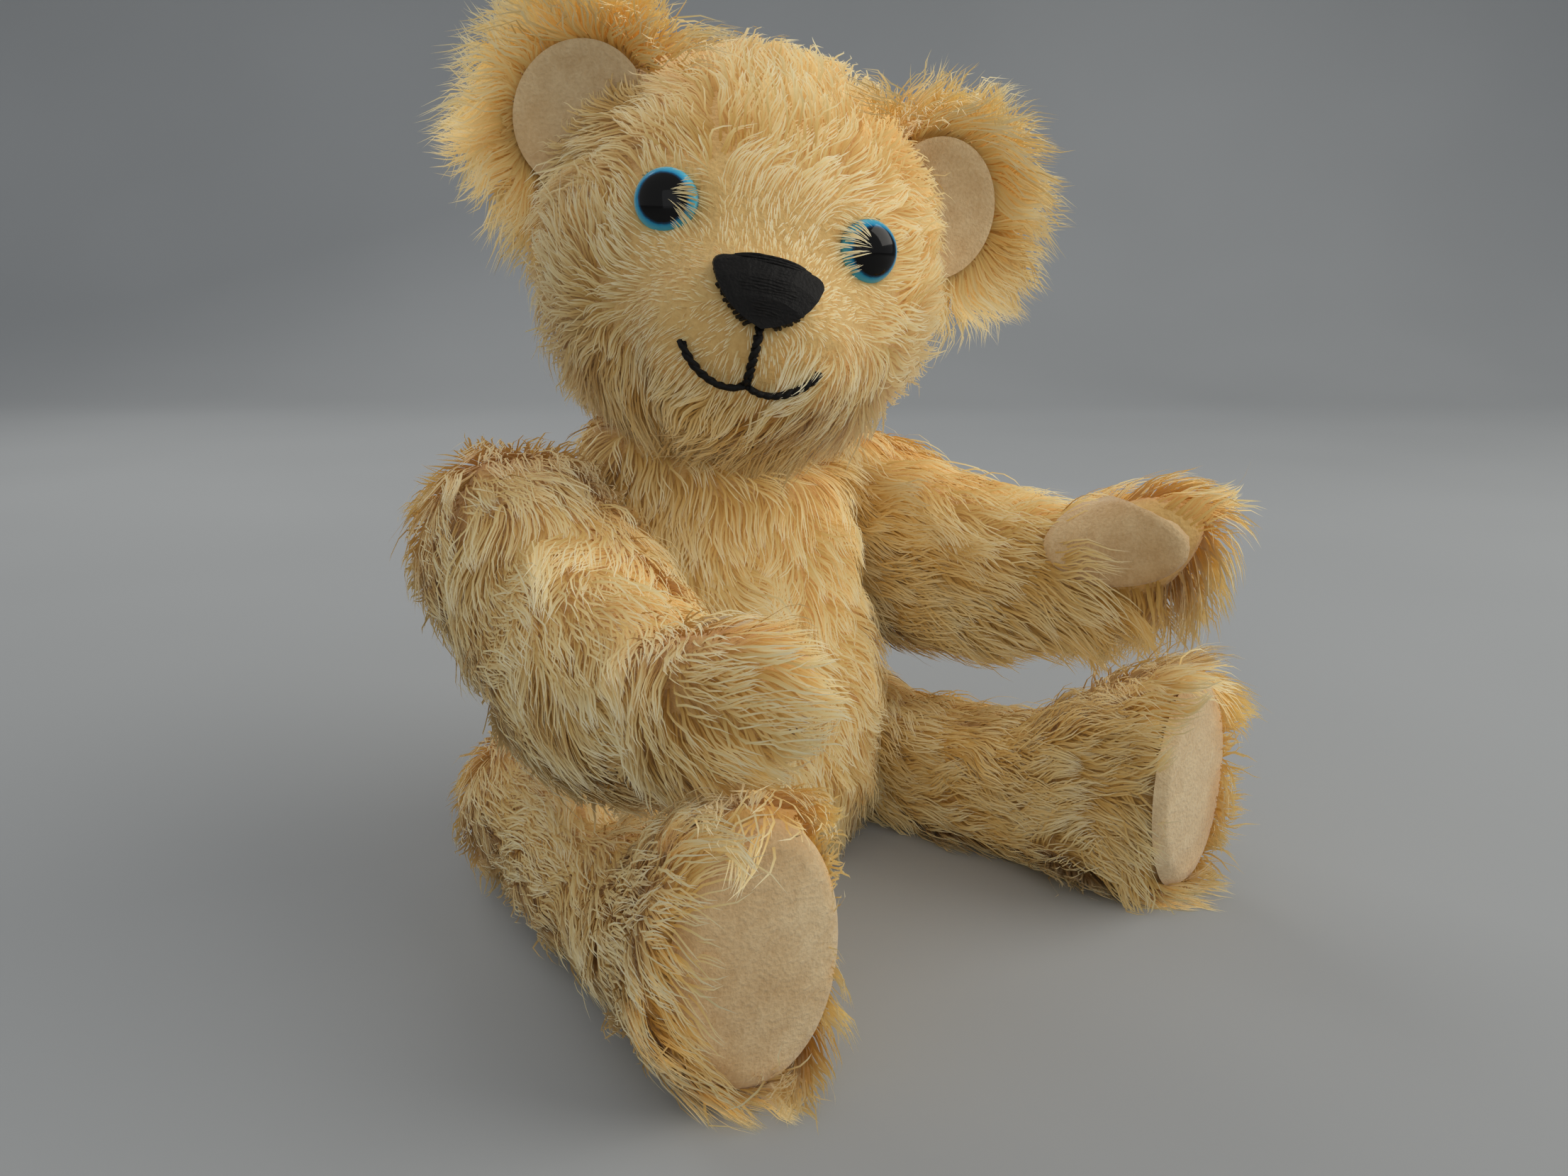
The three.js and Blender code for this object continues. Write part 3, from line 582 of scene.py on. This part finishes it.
def sew(node, body, plan_of, hairs, width, seed, clear=None):
    """The cloth case that stands for a node, and the pile on it."""
    case = cases[node]
    depth = 0.6 + 0.08 * plan_of(case.points, case.normals)["length"]
    cloth = bpy.data.meshes.new(node + "_case")
    cloth.from_pydata((case.sunk(depth) * MM).tolist(), [], case.faces.tolist())
    cloth.shade_smooth()
    cloth.materials.append(cloth_finish.material)
    sewn = put(node + "_case", cloth)
    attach(sewn, body)
    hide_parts(node)

    chance = np.random.default_rng(seed)
    places, normals = spots(case, depth, 2 * hairs, chance)
    keep = chance.random(2 * hairs) < plan_of(places, normals)["grows"]
    places, normals = places[keep][:hairs], normals[keep][:hairs]
    own = plan_of(places, normals)
    paths = hair_paths(places, normals, own, 100 * seed, chance)
    heads = chance.permutation(len(places))[:len(places) // HAIRS_TO_A_LOCK]
    lock = nearest(np.hstack([places, 6 * normals]), np.hstack([places[heads], 6 * normals[heads]]))
    gather = own["gather"] * chance.uniform(0.3, 0.8, len(heads))[lock]
    gather[chance.random(len(places)) < STRAYS] = 0
    along = np.linspace(0, 1, STEPS + 1)
    pull = (paths[heads][lock] - paths) * gather[:, None, None]
    paths += pull * (along ** 1.3)[None, :, None]
    frizz = chance.normal(0, 0.35, (len(places), 3)) * (own["length"] / FULL_LENGTH)[:, None]
    paths += frizz[:, None, :] * (along ** 2)[None, :, None]
    if clear:
        paths = clear(paths)
    paths[:, :, 2] = np.maximum(paths[:, :, 2], FLOOR_GAP)
    tone = 0.5 + 0.26 * drift(places, 100 * seed + 4, 15) + 0.08 * chance.normal(0, 1, len(places))
    thick = width * chance.uniform(0.7, 1.25, len(places)) * np.clip(own["length"] / 9, 0.6, 1)
    # Short hairs start higher up the ramp, so they carry less of its painted root shade.
    fullness = np.clip(own["length"] / FULL_LENGTH, 0.5, 1)
    mesh = hair_mesh(node + "_pile", *hair_strips(paths, normals, thick, tone, fullness, chance))
    mesh.materials.append(pile_finish.material)
    pile = put(node + "_pile", mesh)
    pile.visible_shadow = False
    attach(pile, body)
    print(node, "pile:", len(places), "hairs in", len(heads), "locks")


def plan(length, brushed, grows, lift=0.55, lay=-0.3, droop=0.2, wave=1.0, stray=0.55, gather=1.0):
    """One answer for every spot, as arrays of one length."""
    made = {"length": length, "brushed": brushed, "grows": grows}
    shared = {"lift": lift, "lay": lay, "droop": droop, "wave": wave, "stray": stray, "gather": gather}
    for name, value in shared.items():
        made[name] = np.broadcast_to(np.asarray(value, float), (len(length),)).copy()
    return made


# %% [markdown]
# ## Torso
# The body is brushed downwards, and its pile is a little shorter than on the limbs. No pile grows where
# a limb is pressed against it, under the seat, or beneath the head.

# %% Torso pile
PRESSED = {"neck": 16, "right_shoulder": 13.5, "left_shoulder": 13.5, "right_hip": 15, "left_hip": 15}
PRESSED_DEPTH = 5.5


def torso_plan(points, normals):
    length = np.full(len(points), 11.5) + 1.5 * ease(60, 85, points[:, 2])
    grows = ease(0.6, 2.5, points[:, 2])
    for name, reach in PRESSED.items():
        offset = points - joint_at[name]
        along = offset @ joint_axis[name]
        away = np.linalg.norm(offset - along[:, None] * joint_axis[name], axis=1)
        grows = grows * (1 - (np.abs(along) < PRESSED_DEPTH) * (away < reach))
    brushed = np.stack([0.25 * np.sign(points[:, 0]) + 0.35, np.full(len(points), -0.1),
                        np.full(len(points), -1.0)], 1)
    return plan(length, brushed, grows, lay=-0.15)


sew("torso", "torso", torso_plan, 16000, 0.46, 11)

# %% [markdown]
# ## Arms and legs
# Along a limb the pile runs from the joint to the paw or foot. A ring of longer hair stands round each
# felt pad and falls over its edge. The right paw lies palm down, and there the hair falls right across
# the pad. Under the left paw it hangs longest.

# %% Limb piles
ARM_DEPTH = 18.8
PAW_PAD = (74.5, -2.0, 16.0, 9.0)
LEG_DEPTH = 12.8
SOLE_AT = 94.0
FOOT_PAD = (6.7, 14.5, 22.5)
PAD_EDGE = 0.98
BARE_DEPTH = 1.2


def arm_plan(frame_of_arm, fall):
    def answer(points, normals):
        own = into(frame_of_arm, points)
        pad_x, pad_y, half_long, half_high = PAW_PAD
        oval = np.hypot((own[:, 0] - pad_x) / half_long, (own[:, 1] - pad_y) / half_high)
        on_pad = (oval < PAD_EDGE) & (own[:, 2] < ARM_DEPTH)
        grows = (own[:, 2] > BARE_DEPTH) * (1.0 - on_pad)
        length = 15 - 3 * ease(45, 70, own[:, 0]) + 2 * ease(84, 92, own[:, 0])
        rim = (1 - fall) * ease(52, 62, own[:, 0]) * ease(1.9, 1.1, oval)
        under = (1 - fall) * ease(46, 58, own[:, 0]) * ease(2, -8, own[:, 1])
        length = length + 2.5 * rim + 5 * under
        forward = np.broadcast_to([1.0, -0.45, 0.2], (len(points), 3))
        fan = np.stack([0.6 * (own[:, 0] - pad_x) / half_long + 0.5, own[:, 1] / half_high, 0 * oval], 1)
        near_paw = ease(58 + 8 * fall, 76 + 8 * fall, own[:, 0])[:, None]
        brushed = (forward * (1 - near_paw) + fan * near_paw) @ frame_of_arm[:3, :3].T
        inner = fall * ease(56, 62, own[:, 0]) * ease(ARM_DEPTH + 6, ARM_DEPTH - 2, own[:, 2])
        over_pad = np.array([0.3, 0.2, -1.0]) @ frame_of_arm[:3, :3].T
        brushed = unit(brushed) * (1 - inner)[:, None] + over_pad * inner[:, None]
        return plan(length, brushed, grows, lift=0.55 + 0.4 * rim, lay=-0.3 + 0.3 * rim,
                    droop=0.2 + 0.5 * under)
    return answer


def leg_plan(frame_of_leg):
    def answer(points, normals):
        own = into(frame_of_leg, points)
        middle, half_wide, half_high = FOOT_PAD
        oval = np.hypot((own[:, 2] - LEG_DEPTH) / half_wide, (own[:, 1] - middle) / half_high)
        on_pad = (oval < PAD_EDGE) & (own[:, 0] > SOLE_AT - 6)
        grows = (own[:, 2] > BARE_DEPTH) * (1.0 - on_pad) * ease(0.4, 2.5, points[:, 2])
        length = 13.5 + 1.5 * ease(74, 88, own[:, 0])
        forward = np.stack([np.ones(len(points)), -0.3 + 0.7 * ease(40, 80, own[:, 0]), 0 * oval + 0.15], 1)
        fan = np.stack([np.ones(len(points)), 0.55 * (own[:, 1] - middle) / half_high,
                        0.55 * (own[:, 2] - LEG_DEPTH) / half_wide], 1)
        near_sole = ease(70, 86, own[:, 0])[:, None]
        brushed = (forward * (1 - near_sole) + fan * near_sole) @ frame_of_leg[:3, :3].T
        return plan(length, brushed, grows)
    return answer


for seed, limb in enumerate(("right_arm", "left_arm")):
    sew(limb, limb, arm_plan(limb_frames[limb], 1.0 - seed), 13000, 0.46, 21 + seed)
for seed, limb in enumerate(("right_leg", "left_leg")):
    sew(limb, limb, leg_plan(limb_frames[limb]), 14000, 0.46, 31 + seed)

# %% [markdown]
# ## Head
# The pile on a bear's face is brushed outwards from the nose. It is clipped short on the muzzle and
# between the eyes, and left long on the cheeks, under the chin and behind. A parting shows the seam
# that runs up from the nose. On the inner side of each eye the hair leans over the glass, and it hides
# one end of the mouth.

# %% Head pile
NOSE_TIP = np.array([0, -50.0, 30.0])
EYE_SPREAD, EYE_HEIGHT = 19.3, 43.0
EYE_ASIDE, EYE_ABOVE = 18, 6
DOME_RADIUS, DOME_HEIGHT = 6.3, 4.6
head_skin = cases["head"]


def on_face(x, z):
    """The place and normal on the head seen from the front at x, z, in the head's frame."""
    start = out_of(head_frame, (x, -90.0, z))
    place, normal = head_skin.meet(start, head_frame[:3, :3] @ np.array([0, 1.0, 0]))
    return into(head_frame, place), normal @ head_frame[:3, :3]


eye_spots = {side: on_face(sign * EYE_SPREAD, EYE_HEIGHT)[0] for side, sign in (("right", -1), ("left", 1))}


def nose_half(z):
    """Half the nose's width at a height on the face."""
    return np.interp((36.5 - z) / 11, [0, 0.08, 0.2, 0.45, 0.7, 0.88, 1], [6, 8.6, 10, 8.8, 6.7, 3.8, 1])


def round_the_eyes(own, length, away, grows):
    """Changes a plan near the eyes. The last answer tells how far a hair leans over the glass."""
    leaning = np.zeros(len(own))
    for sign, eye in ((-1, eye_spots["right"]), (1, eye_spots["left"])):
        gap = own - eye
        far = np.linalg.norm(gap, axis=1)
        outward = gap / np.maximum(far, 1)[:, None]
        inner = ease(1.5, 4.5, -sign * gap[:, 0])
        over = inner * ease(12, 7.5, far)
        length = length * (0.4 + 0.6 * np.maximum(ease(6.0, 14.0, far), inner))
        length = np.maximum(length * (1 - over), 4.6 * over)
        grows = grows * (far > 6.3 - 0.9 * inner)
        away = away + 14 * outward * (ease(14, 7, far) * (1 - inner))[:, None]
        away = away * (1 - over)[:, None] - 20 * outward * over[:, None]
        leaning = np.maximum(leaning, over)
    return length, away, grows, leaning


def head_plan(points, normals):
    own = into(head_frame, points)
    x, y, z = own.T
    from_nose = np.linalg.norm(own - NOSE_TIP, axis=1)
    length = 1.9 + 13 * ease(20, 42, from_nose)
    length = length + 12 * ease(16, 5, z) * ease(-8, -26, y) + 4 * ease(24, 8, z)
    length = np.minimum(length, 18.5)
    veil = ease(4.5, 7, x) * ease(28, 24, z) * ease(9, 13, z) * (y < -28)
    length = np.maximum(length, 6.5 * veil)
    grows = (z > BARE_DEPTH) * np.ones(len(points))
    length, away, grows, leaning = round_the_eyes(own, length, own - NOSE_TIP, grows)
    in_nose = (y < -34) & (z > 25.3) & (z < 36.8) & (np.abs(x) < nose_half(z))
    seam = -9.5 - 3.0 * ease(36, 60, z)
    parting = (y < -12) & (z > 36) & (z < 66)
    grows = grows * (1.0 - in_nose) * (1.0 - parting * (np.abs(x - seam) < 0.5))
    away[:, 0] += 6 * np.sign(x - seam) * parting * ease(5, 1, np.abs(x - seam))
    back = ease(-8, 22, y)[:, None]
    brushed = unit(away) * (1 - back) + np.array([0, 0.25, -1.0]) * back
    brushed = brushed + np.array([0, 0, -0.9]) * ease(22, 6, z)[:, None]
    brushed = brushed * (1 - veil)[:, None] + np.array([-0.4, 0, -1.0]) * veil[:, None]
    shorn = ease(9, 4, length)
    return plan(length, brushed @ head_frame[:3, :3].T, grows, lift=0.55 + 0.6 * leaning, lay=-0.1,
                droop=0.25 * (1 - shorn), wave=1.0 - 0.85 * shorn,
                stray=0.5 - 0.2 * shorn - 0.3 * leaning, gather=1 - 0.7 * shorn)


def eye_look(sign):
    """The way an eye faces, on the seated bear."""
    aside, above = math.tan(math.radians(EYE_ASIDE)), math.tan(math.radians(EYE_ABOVE))
    return unit(head_frame[:3, :3] @ np.array([sign * aside, -1, above]))


def off_eyes(paths):
    """Hairs that would run through an eye lie over its dome instead."""
    for side, sign in (("right", -1), ("left", 1)):
        gap = paths - out_of(head_frame, eye_spots[side])
        look = eye_look(sign)
        height = gap @ look
        flat = gap - height[..., None] * look
        dome = DOME_HEIGHT * np.sqrt(np.maximum(0, 1 - (flat ** 2).sum(-1) / DOME_RADIUS ** 2))
        rise = np.where((dome > 0) & (np.abs(height) < 5), np.maximum(0, dome - height), 0)
        paths = paths + look * rise[..., None]
    return paths


sew("head", "head", head_plan, 22000, 0.44, 41, off_eyes)

# %% [markdown]
# ## Ears
# Each ear is a cupped half round. Its mohair back carries a long fringe all round the rim, and the
# hollow of the cup is lined with felt.

# %% Ear piles
EAR_CUP, EAR_RADIUS, EAR_RIM = 24.0, 15.0, 17.0
EAR_RISE, EAR_TURN = 29, 22


def ear_frame(sign):
    """Z out of the cup, with the origin where the cup's middle touches the head."""
    rise, turn = math.radians(EAR_RISE), math.radians(EAR_TURN)
    inside = out_of(head_frame, (0, 6.0, 36.0))
    toward = head_frame[:3, :3] @ np.array([sign * math.cos(rise), 0, math.sin(rise)])
    root, _ = head_skin.meet(inside, toward)
    opening = head_frame[:3, :3] @ np.array([sign * math.sin(turn), -math.cos(turn), 0])
    up = head_frame[:3, 2]
    across = unit(np.cross(up, opening))
    return basis(root, across, np.cross(opening, across), opening)


ear_frames = {"right": ear_frame(-1), "left": ear_frame(1)}


def drawn_in(frame_of_ear):
    """The solid holds the fringe as well, so the cloth is drawn in to its own rim."""
    def move(point):
        own = into(frame_of_ear, point)
        reach = math.hypot(own[0], own[1])
        if reach > EAR_RIM:
            own[:2] *= (EAR_RIM + 0.15 * (reach - EAR_RIM)) / reach
        return out_of(frame_of_ear, own)
    return move


for side in ("right", "left"):
    cases[side + "_ear"] = case_of(side + "_ear", [], 1.1, 6, drawn_in(ear_frames[side]))


def ear_plan(frame_of_ear):
    def answer(points, normals):
        own = into(frame_of_ear, points)
        radius = np.hypot(own[:, 0], own[:, 1])
        hollow = (normals @ frame_of_ear[:3, 2] > 0.35) & (radius < EAR_RADIUS - 1.2)
        length = 8 + 11 * ease(9, 16, radius)
        brushed = np.stack([own[:, 0], own[:, 1], -2.0 + 0 * radius], 1) @ frame_of_ear[:3, :3].T
        return plan(length, brushed, 1.0 - hollow, lift=0.4, lay=0.0, droop=0.7, wave=1.6)
    return answer


for seed, side in enumerate(("right", "left")):
    sew(side + "_ear", "head", ear_plan(ear_frames[side]), 4200, 0.42, 51 + seed)

# %% [markdown]
# ## Felt pads and ear linings
# Wool felt has no weave: its surface is matted fibre with a faint nap. Each pad is an oval cut from it,
# laid over the case and sewn down round its edge, so its rim turns in. The paw pads follow the round of
# the arm, so each of their points is found by looking for the case along a straight line.

# %% Felt finish
felt_finish = Finish("wool_felt", Roughness=0.95, Sheen_Weight=0.3)
felt_place = felt_finish.node("ShaderNodeTexCoord", out=3)
felt_fibre = felt_finish.noise(felt_place, 1400, 4)
felt_nap = felt_finish.noise(felt_place, 260, 3)
felt_soil = felt_finish.noise(felt_place, 38)
felt_clean = felt_finish.ramp(0.5 * felt_fibre + 0.5 * felt_nap,
                              (0.32, paint(214, 182, 134)), (0.68, paint(236, 211, 166)))
felt_worn = felt_finish.ramp(felt_soil, (0.45, paint(255, 255, 255)), (0.75, paint(226, 206, 176)))
felt_finish.set("Base Color", felt_finish.mix(1.0, felt_clean, felt_worn, "MULTIPLY"))
felt_finish.bump(felt_fibre + felt_nap, 0.0003)
print("felt finish:", len(felt_finish.tree.nodes), "nodes")


# %% Felt pads
def oval_grid(rings, spokes):
    """Unit-disc places in rings, and the faces between them."""
    places = [(0.0, 0.0)]
    for ring in range(1, rings + 1):
        for spoke in range(spokes):
            angle = 2 * math.pi * spoke / spokes
            places.append((ring / rings * math.cos(angle), ring / rings * math.sin(angle)))
    faces = [(0, 1 + s, 1 + (s + 1) % spokes) for s in range(spokes)]
    for ring in range(rings - 1):
        low, high = 1 + ring * spokes, 1 + (ring + 1) * spokes
        for s in range(spokes):
            n = (s + 1) % spokes
            faces.append((low + s, high + s, high + n, low + n))
    return np.array(places), faces


def sewn_piece(name, points, faces, finish, body, node):
    """A piece of felt or thread on a body, in the place of a node if one is named."""
    mesh = bpy.data.meshes.new(name)
    mesh.from_pydata((np.asarray(points) * MM).tolist(), [], faces)
    bm = bmesh.new()
    bm.from_mesh(mesh)
    bmesh.ops.recalc_face_normals(bm, faces=bm.faces)
    bm.to_mesh(mesh)
    bm.free()
    mesh.shade_smooth()
    mesh.materials.append(finish.material)
    made = put(name, mesh)
    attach(made, body)
    if node:
        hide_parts(node)
    print(name, len(mesh.polygons), "faces")


def felt_piece(name, points, body, node):
    sewn_piece(name, points, disc_faces, felt_finish, body, node)


disc, disc_faces = oval_grid(10, 48)
edge_drop = np.where(np.hypot(*disc.T) > 0.93, 1.0, 0.0)
for side in ("right", "left"):
    matrix = limb_frames[side + "_leg"]
    middle, half_wide, half_high = FOOT_PAD
    swell = 1.4 * (1 - np.hypot(*disc.T) ** 2) - 1.8 * edge_drop
    sole = np.stack([SOLE_AT + 0.9 + swell, middle + disc[:, 1] * half_high,
                     LEG_DEPTH + disc[:, 0] * half_wide], 1)
    felt_piece(side + "_foot_felt", out_of(matrix, sole), side + "_leg", side + "_foot_pad")

for side in ("right", "left"):
    matrix = limb_frames[side + "_arm"]
    pad_x, pad_y, half_long, half_high = PAW_PAD
    skin = cases[side + "_arm"]
    palm = []
    for (u, v), drop in zip(disc, edge_drop):
        place, share = None, 1.0
        while place is None:
            inside = (pad_x + share * u * half_long, pad_y + share * v * half_high, ARM_DEPTH)
            place, normal = skin.meet(out_of(matrix, inside), -matrix[:3, 2])
            share -= 0.02
        palm.append(place + normal * (0.7 - 3.2 * drop))
    felt_piece(side + "_paw_felt", palm, side + "_arm", side + "_paw_pad")

for side in ("right", "left"):
    matrix = ear_frames[side]
    widest = math.asin(EAR_RADIUS / EAR_CUP)
    cup = []
    for (u, v), drop in zip(disc, edge_drop):
        angle = math.hypot(u, v) * widest
        round_at = math.atan2(v, u)
        reach = EAR_CUP - 1.2 + 0.6 * drop
        ring = reach * math.sin(angle)
        cup.append((ring * math.cos(round_at), ring * math.sin(round_at), EAR_CUP - reach * math.cos(angle)))
    felt_piece(side + "_ear_felt", out_of(matrix, cup), "head", side + "_ear_lining")

# %% [markdown]
# ## Glass eyes
# The eyes are old glass buttons: a clear dome over a painted back, with a black pupil inside a blue
# ring. A dome turned on a lathe is one profile carried round its axis. A coat over the colour gives the
# hard bright reflection of glass, and the colour depends on the distance from the middle of the eye.

# %% Eye finish
eye_finish = Finish("eye_glass", Roughness=0.12, Coat_Weight=0.3, Coat_Roughness=0.03)
eye_finish.set("Specular IOR Level", 0.1)
eye_place = eye_finish.node("ShaderNodeTexCoord", out=3)
flat = eye_finish.node("ShaderNodeVectorMath", {"operation": "MULTIPLY"}, {0: eye_place, 1: (1, 1, 0)})
from_middle = eye_finish.node("ShaderNodeVectorMath", {"operation": "LENGTH"}, {0: flat}, out=1)
eye_grain = eye_finish.noise(eye_place, 900)
eye_ring = eye_finish.ramp(
    from_middle * 160 + 0.05 * eye_grain,
    (0.0, paint(8, 6, 5)), (0.71, paint(10, 8, 7)), (0.76, paint(18, 70, 104)),
    (0.8, paint(34, 146, 194)), (0.95, paint(96, 198, 224)), (1.0, paint(26, 88, 120)))
eye_finish.set("Base Color", eye_ring)
print("eye finish:", len(eye_finish.tree.nodes), "nodes")

# %% Eyes
EYE_RADIUS, EYE_DOME = 6, 4
for side, sign in (("right", -1), ("left", 1)):
    seat = out_of(head_frame, eye_spots[side])
    look = eye_look(sign)
    profile = [(0.001, -4.0), (1.1, -4.0), (1.1, -1.2), (5.6, -1.2), (6.0, -0.6), (6.0, 0.0)]
    rise = np.linspace(0.12, math.pi / 2 - 0.08, 12)
    profile += [(EYE_RADIUS * math.cos(a), EYE_DOME * math.sin(a)) for a in rise] + [(0.001, 4.0)]
    bm = bmesh.new()
    ring = [bm.verts.new((r * MM, 0, h * MM)) for r, h in profile]
    edges = [bm.edges.new(pair) for pair in zip(ring, ring[1:])]
    bmesh.ops.spin(bm, geom=ring + edges, axis=(0, 0, 1), cent=(0, 0, 0), steps=40, angle=2 * math.pi)
    bmesh.ops.remove_doubles(bm, verts=bm.verts, dist=1e-5)
    bmesh.ops.recalc_face_normals(bm, faces=bm.faces)
    mesh = bpy.data.meshes.new(side + "_glass_eye")
    bm.to_mesh(mesh)
    bm.free()
    mesh.shade_smooth()
    mesh.materials.append(eye_finish.material)
    eye = put(side + "_glass_eye", mesh)
    facing = Vector(look).to_track_quat("Z", "Y").to_matrix().to_4x4()
    eye.matrix_world = Matrix.Translation(Vector(seat) * MM) @ facing
    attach(eye, "head")
    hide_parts(side + "_eye")
    print(side, "eye:", len(mesh.polygons), "faces")

# %% [markdown]
# ## Stitched nose and mouth
# The nose is satin stitch: black thread carried from side to side in rows that touch. The mouth is
# three long stitches. Each is a tube swept along the path of the thread, and the paths lie on the
# muzzle, because every point is dropped on it from the front. The plain solid of the nose stays under
# the rows as their padding.

# %% Thread finish
thread_finish = Finish("black_thread", Roughness=0.6)
thread_finish.set("Specular IOR Level", 0.2)
thread_place = thread_finish.node("ShaderNodeTexCoord", out=3)
thread_fibre = thread_finish.noise(thread_place, 1800, 3)
thread_fade = thread_finish.noise(thread_place, 120)
thread_finish.set("Base Color", thread_finish.ramp(
    0.6 * thread_fibre + 0.4 * thread_fade, (0.3, paint(8, 7, 6)), (0.75, paint(22, 19, 16))))
thread_finish.bump(thread_fibre, 0.0002)
nodes["nose"].data.materials.clear()
nodes["nose"].data.materials.append(thread_finish.material)
print("thread finish:", len(thread_finish.tree.nodes), "nodes")


# %% Threads
def tube(path, radius, sides=6):
    """Points and faces of a closed tube along a path."""
    path = np.asarray(path, float)
    run = unit(np.gradient(path, axis=0))
    guide = np.where(np.abs(run[:, 2:]) > 0.9, [[1.0, 0, 0]], [[0, 0, 1.0]])
    across = unit(np.cross(run, guide))
    over = np.cross(across, run)
    radius = np.broadcast_to(radius, (len(path),))
    points, faces = [], []
    for place, a, b, r in zip(path, across, over, radius):
        for s in range(sides):
            angle = 2 * math.pi * s / sides
            points.append(place + r * (a * math.cos(angle) + b * math.sin(angle)))
    for k in range(len(path) - 1):
        for s in range(sides):
            n = (s + 1) % sides
            faces.append((k * sides + s, k * sides + n, (k + 1) * sides + n, (k + 1) * sides + s))
    faces.append(tuple(range(sides)))
    faces.append(tuple(range(len(points) - 1, len(points) - sides - 1, -1)))
    return points, faces


def thread_piece(name, tubes, node):
    points, faces = [], []
    for some_points, some_faces in tubes:
        start = len(points)
        points += some_points
        faces += [tuple(i + start for i in face) for face in some_faces]
    sewn_piece(name, points, faces, thread_finish, "head", node)


def laid(x, z, proud):
    """A point of the seated bear, standing proud of the muzzle at x, z of the face."""
    place, normal = on_face(x, z)
    return out_of(head_frame, place + normal * proud)


chance = np.random.default_rng(61)
rows = []
for level in np.linspace(36.0, 26.4, 23):
    half = 0.95 * float(nose_half(level)) + chance.uniform(-0.2, 0.2)
    slant = chance.uniform(-0.25, 0.25)
    path = []
    for share in np.linspace(-1, 1, 13):
        proud = 0.4 + 1.75 * math.sqrt(max(0, 1 - share ** 4)) - 0.35 * (abs(level - 31.5) / 5.5) ** 2
        path.append(laid(half * share, level - 0.7 * share ** 2 + slant * share, proud))
    rows.append(tube(path, 0.38))
thread_piece("nose_stitches", rows, None)


PLY, PLY_RADIUS = 0.35, 0.58
MOUTH_END = 12.6


def twisted(corners, proud, turns):
    """Two plies of thread wound round each other along a line on the face."""
    corners = np.array(corners)
    shares = np.linspace(0, 1, 26)
    steps = np.linspace(0, 1, len(corners))
    plies = []
    for start in (0, math.pi):
        path = []
        for share in shares:
            x, z = np.interp(share, steps, corners[:, 0]), np.interp(share, steps, corners[:, 1])
            wind = start + 2 * math.pi * turns * share
            ends = 1 - (2 * share - 1) ** 8
            height = (proud + PLY * math.sin(wind)) * ends - 0.3 * (1 - ends)
            path.append(laid(x + PLY * math.cos(wind), z, height))
        plies.append(tube(path, PLY_RADIUS))
    return plies


def bend(start, middle, end):
    """Points along a smooth curve that leaves start towards middle and comes to end."""
    start, middle, end = np.array(start), np.array(middle), np.array(end)
    return [(1 - t) ** 2 * start + 2 * t * (1 - t) * middle + t * t * end for t in np.linspace(0, 1, 9)]


thread_piece("philtrum_stitch", twisted([(0, 25.6), (0, 15.4)], 0.7, 3), "mouth_centre_stitch")
for side, sign in (("right", -1), ("left", 1)):
    smile = bend((sign * 0.3, 15.1), (sign * 6.5, 12.6), (sign * MOUTH_END, 20.0))
    thread_piece(side + "_smile_stitch", twisted(smile, 0.6, 4), side + "_mouth_stitch")

# %% [markdown]
# ## Inside the joints
# The discs are pressed hardboard and the washers and split pins are bright steel. They can't be seen on
# a whole bear, but each keeps its solid and gets a finish of its own, so that the part can be taken
# apart.

# %% Hardboard and steel
board_finish = Finish("pressed_board", Roughness=0.8)
board_place = board_finish.node("ShaderNodeTexCoord", out=3)
board_fibre = board_finish.noise(board_place, 700, 4)
board_finish.set("Base Color", board_finish.ramp(
    board_fibre, (0.3, paint(98, 66, 40)), (0.7, paint(138, 100, 64))))
board_finish.bump(board_fibre, 0.0002)
steel_finish = Finish("bright_steel", Metallic=1.0)
steel_place = steel_finish.node("ShaderNodeTexCoord", out=3)
steel_scuff = steel_finish.noise(steel_place, 500, 3)
steel_finish.set("Base Color", steel_finish.ramp(
    steel_scuff, (0.3, paint(150, 149, 146)), (0.7, paint(186, 185, 182))))
steel_finish.set("Roughness", 0.25 + 0.25 * steel_scuff)
dressed = 0
for name, solid in nodes.items():
    if name.endswith(("_disc", "_washer", "_pin")):
        solid.data.materials.clear()
        solid.data.materials.append((board_finish if name.endswith("_disc") else steel_finish).material)
        dressed += 1
print("joint pieces dressed:", dressed)
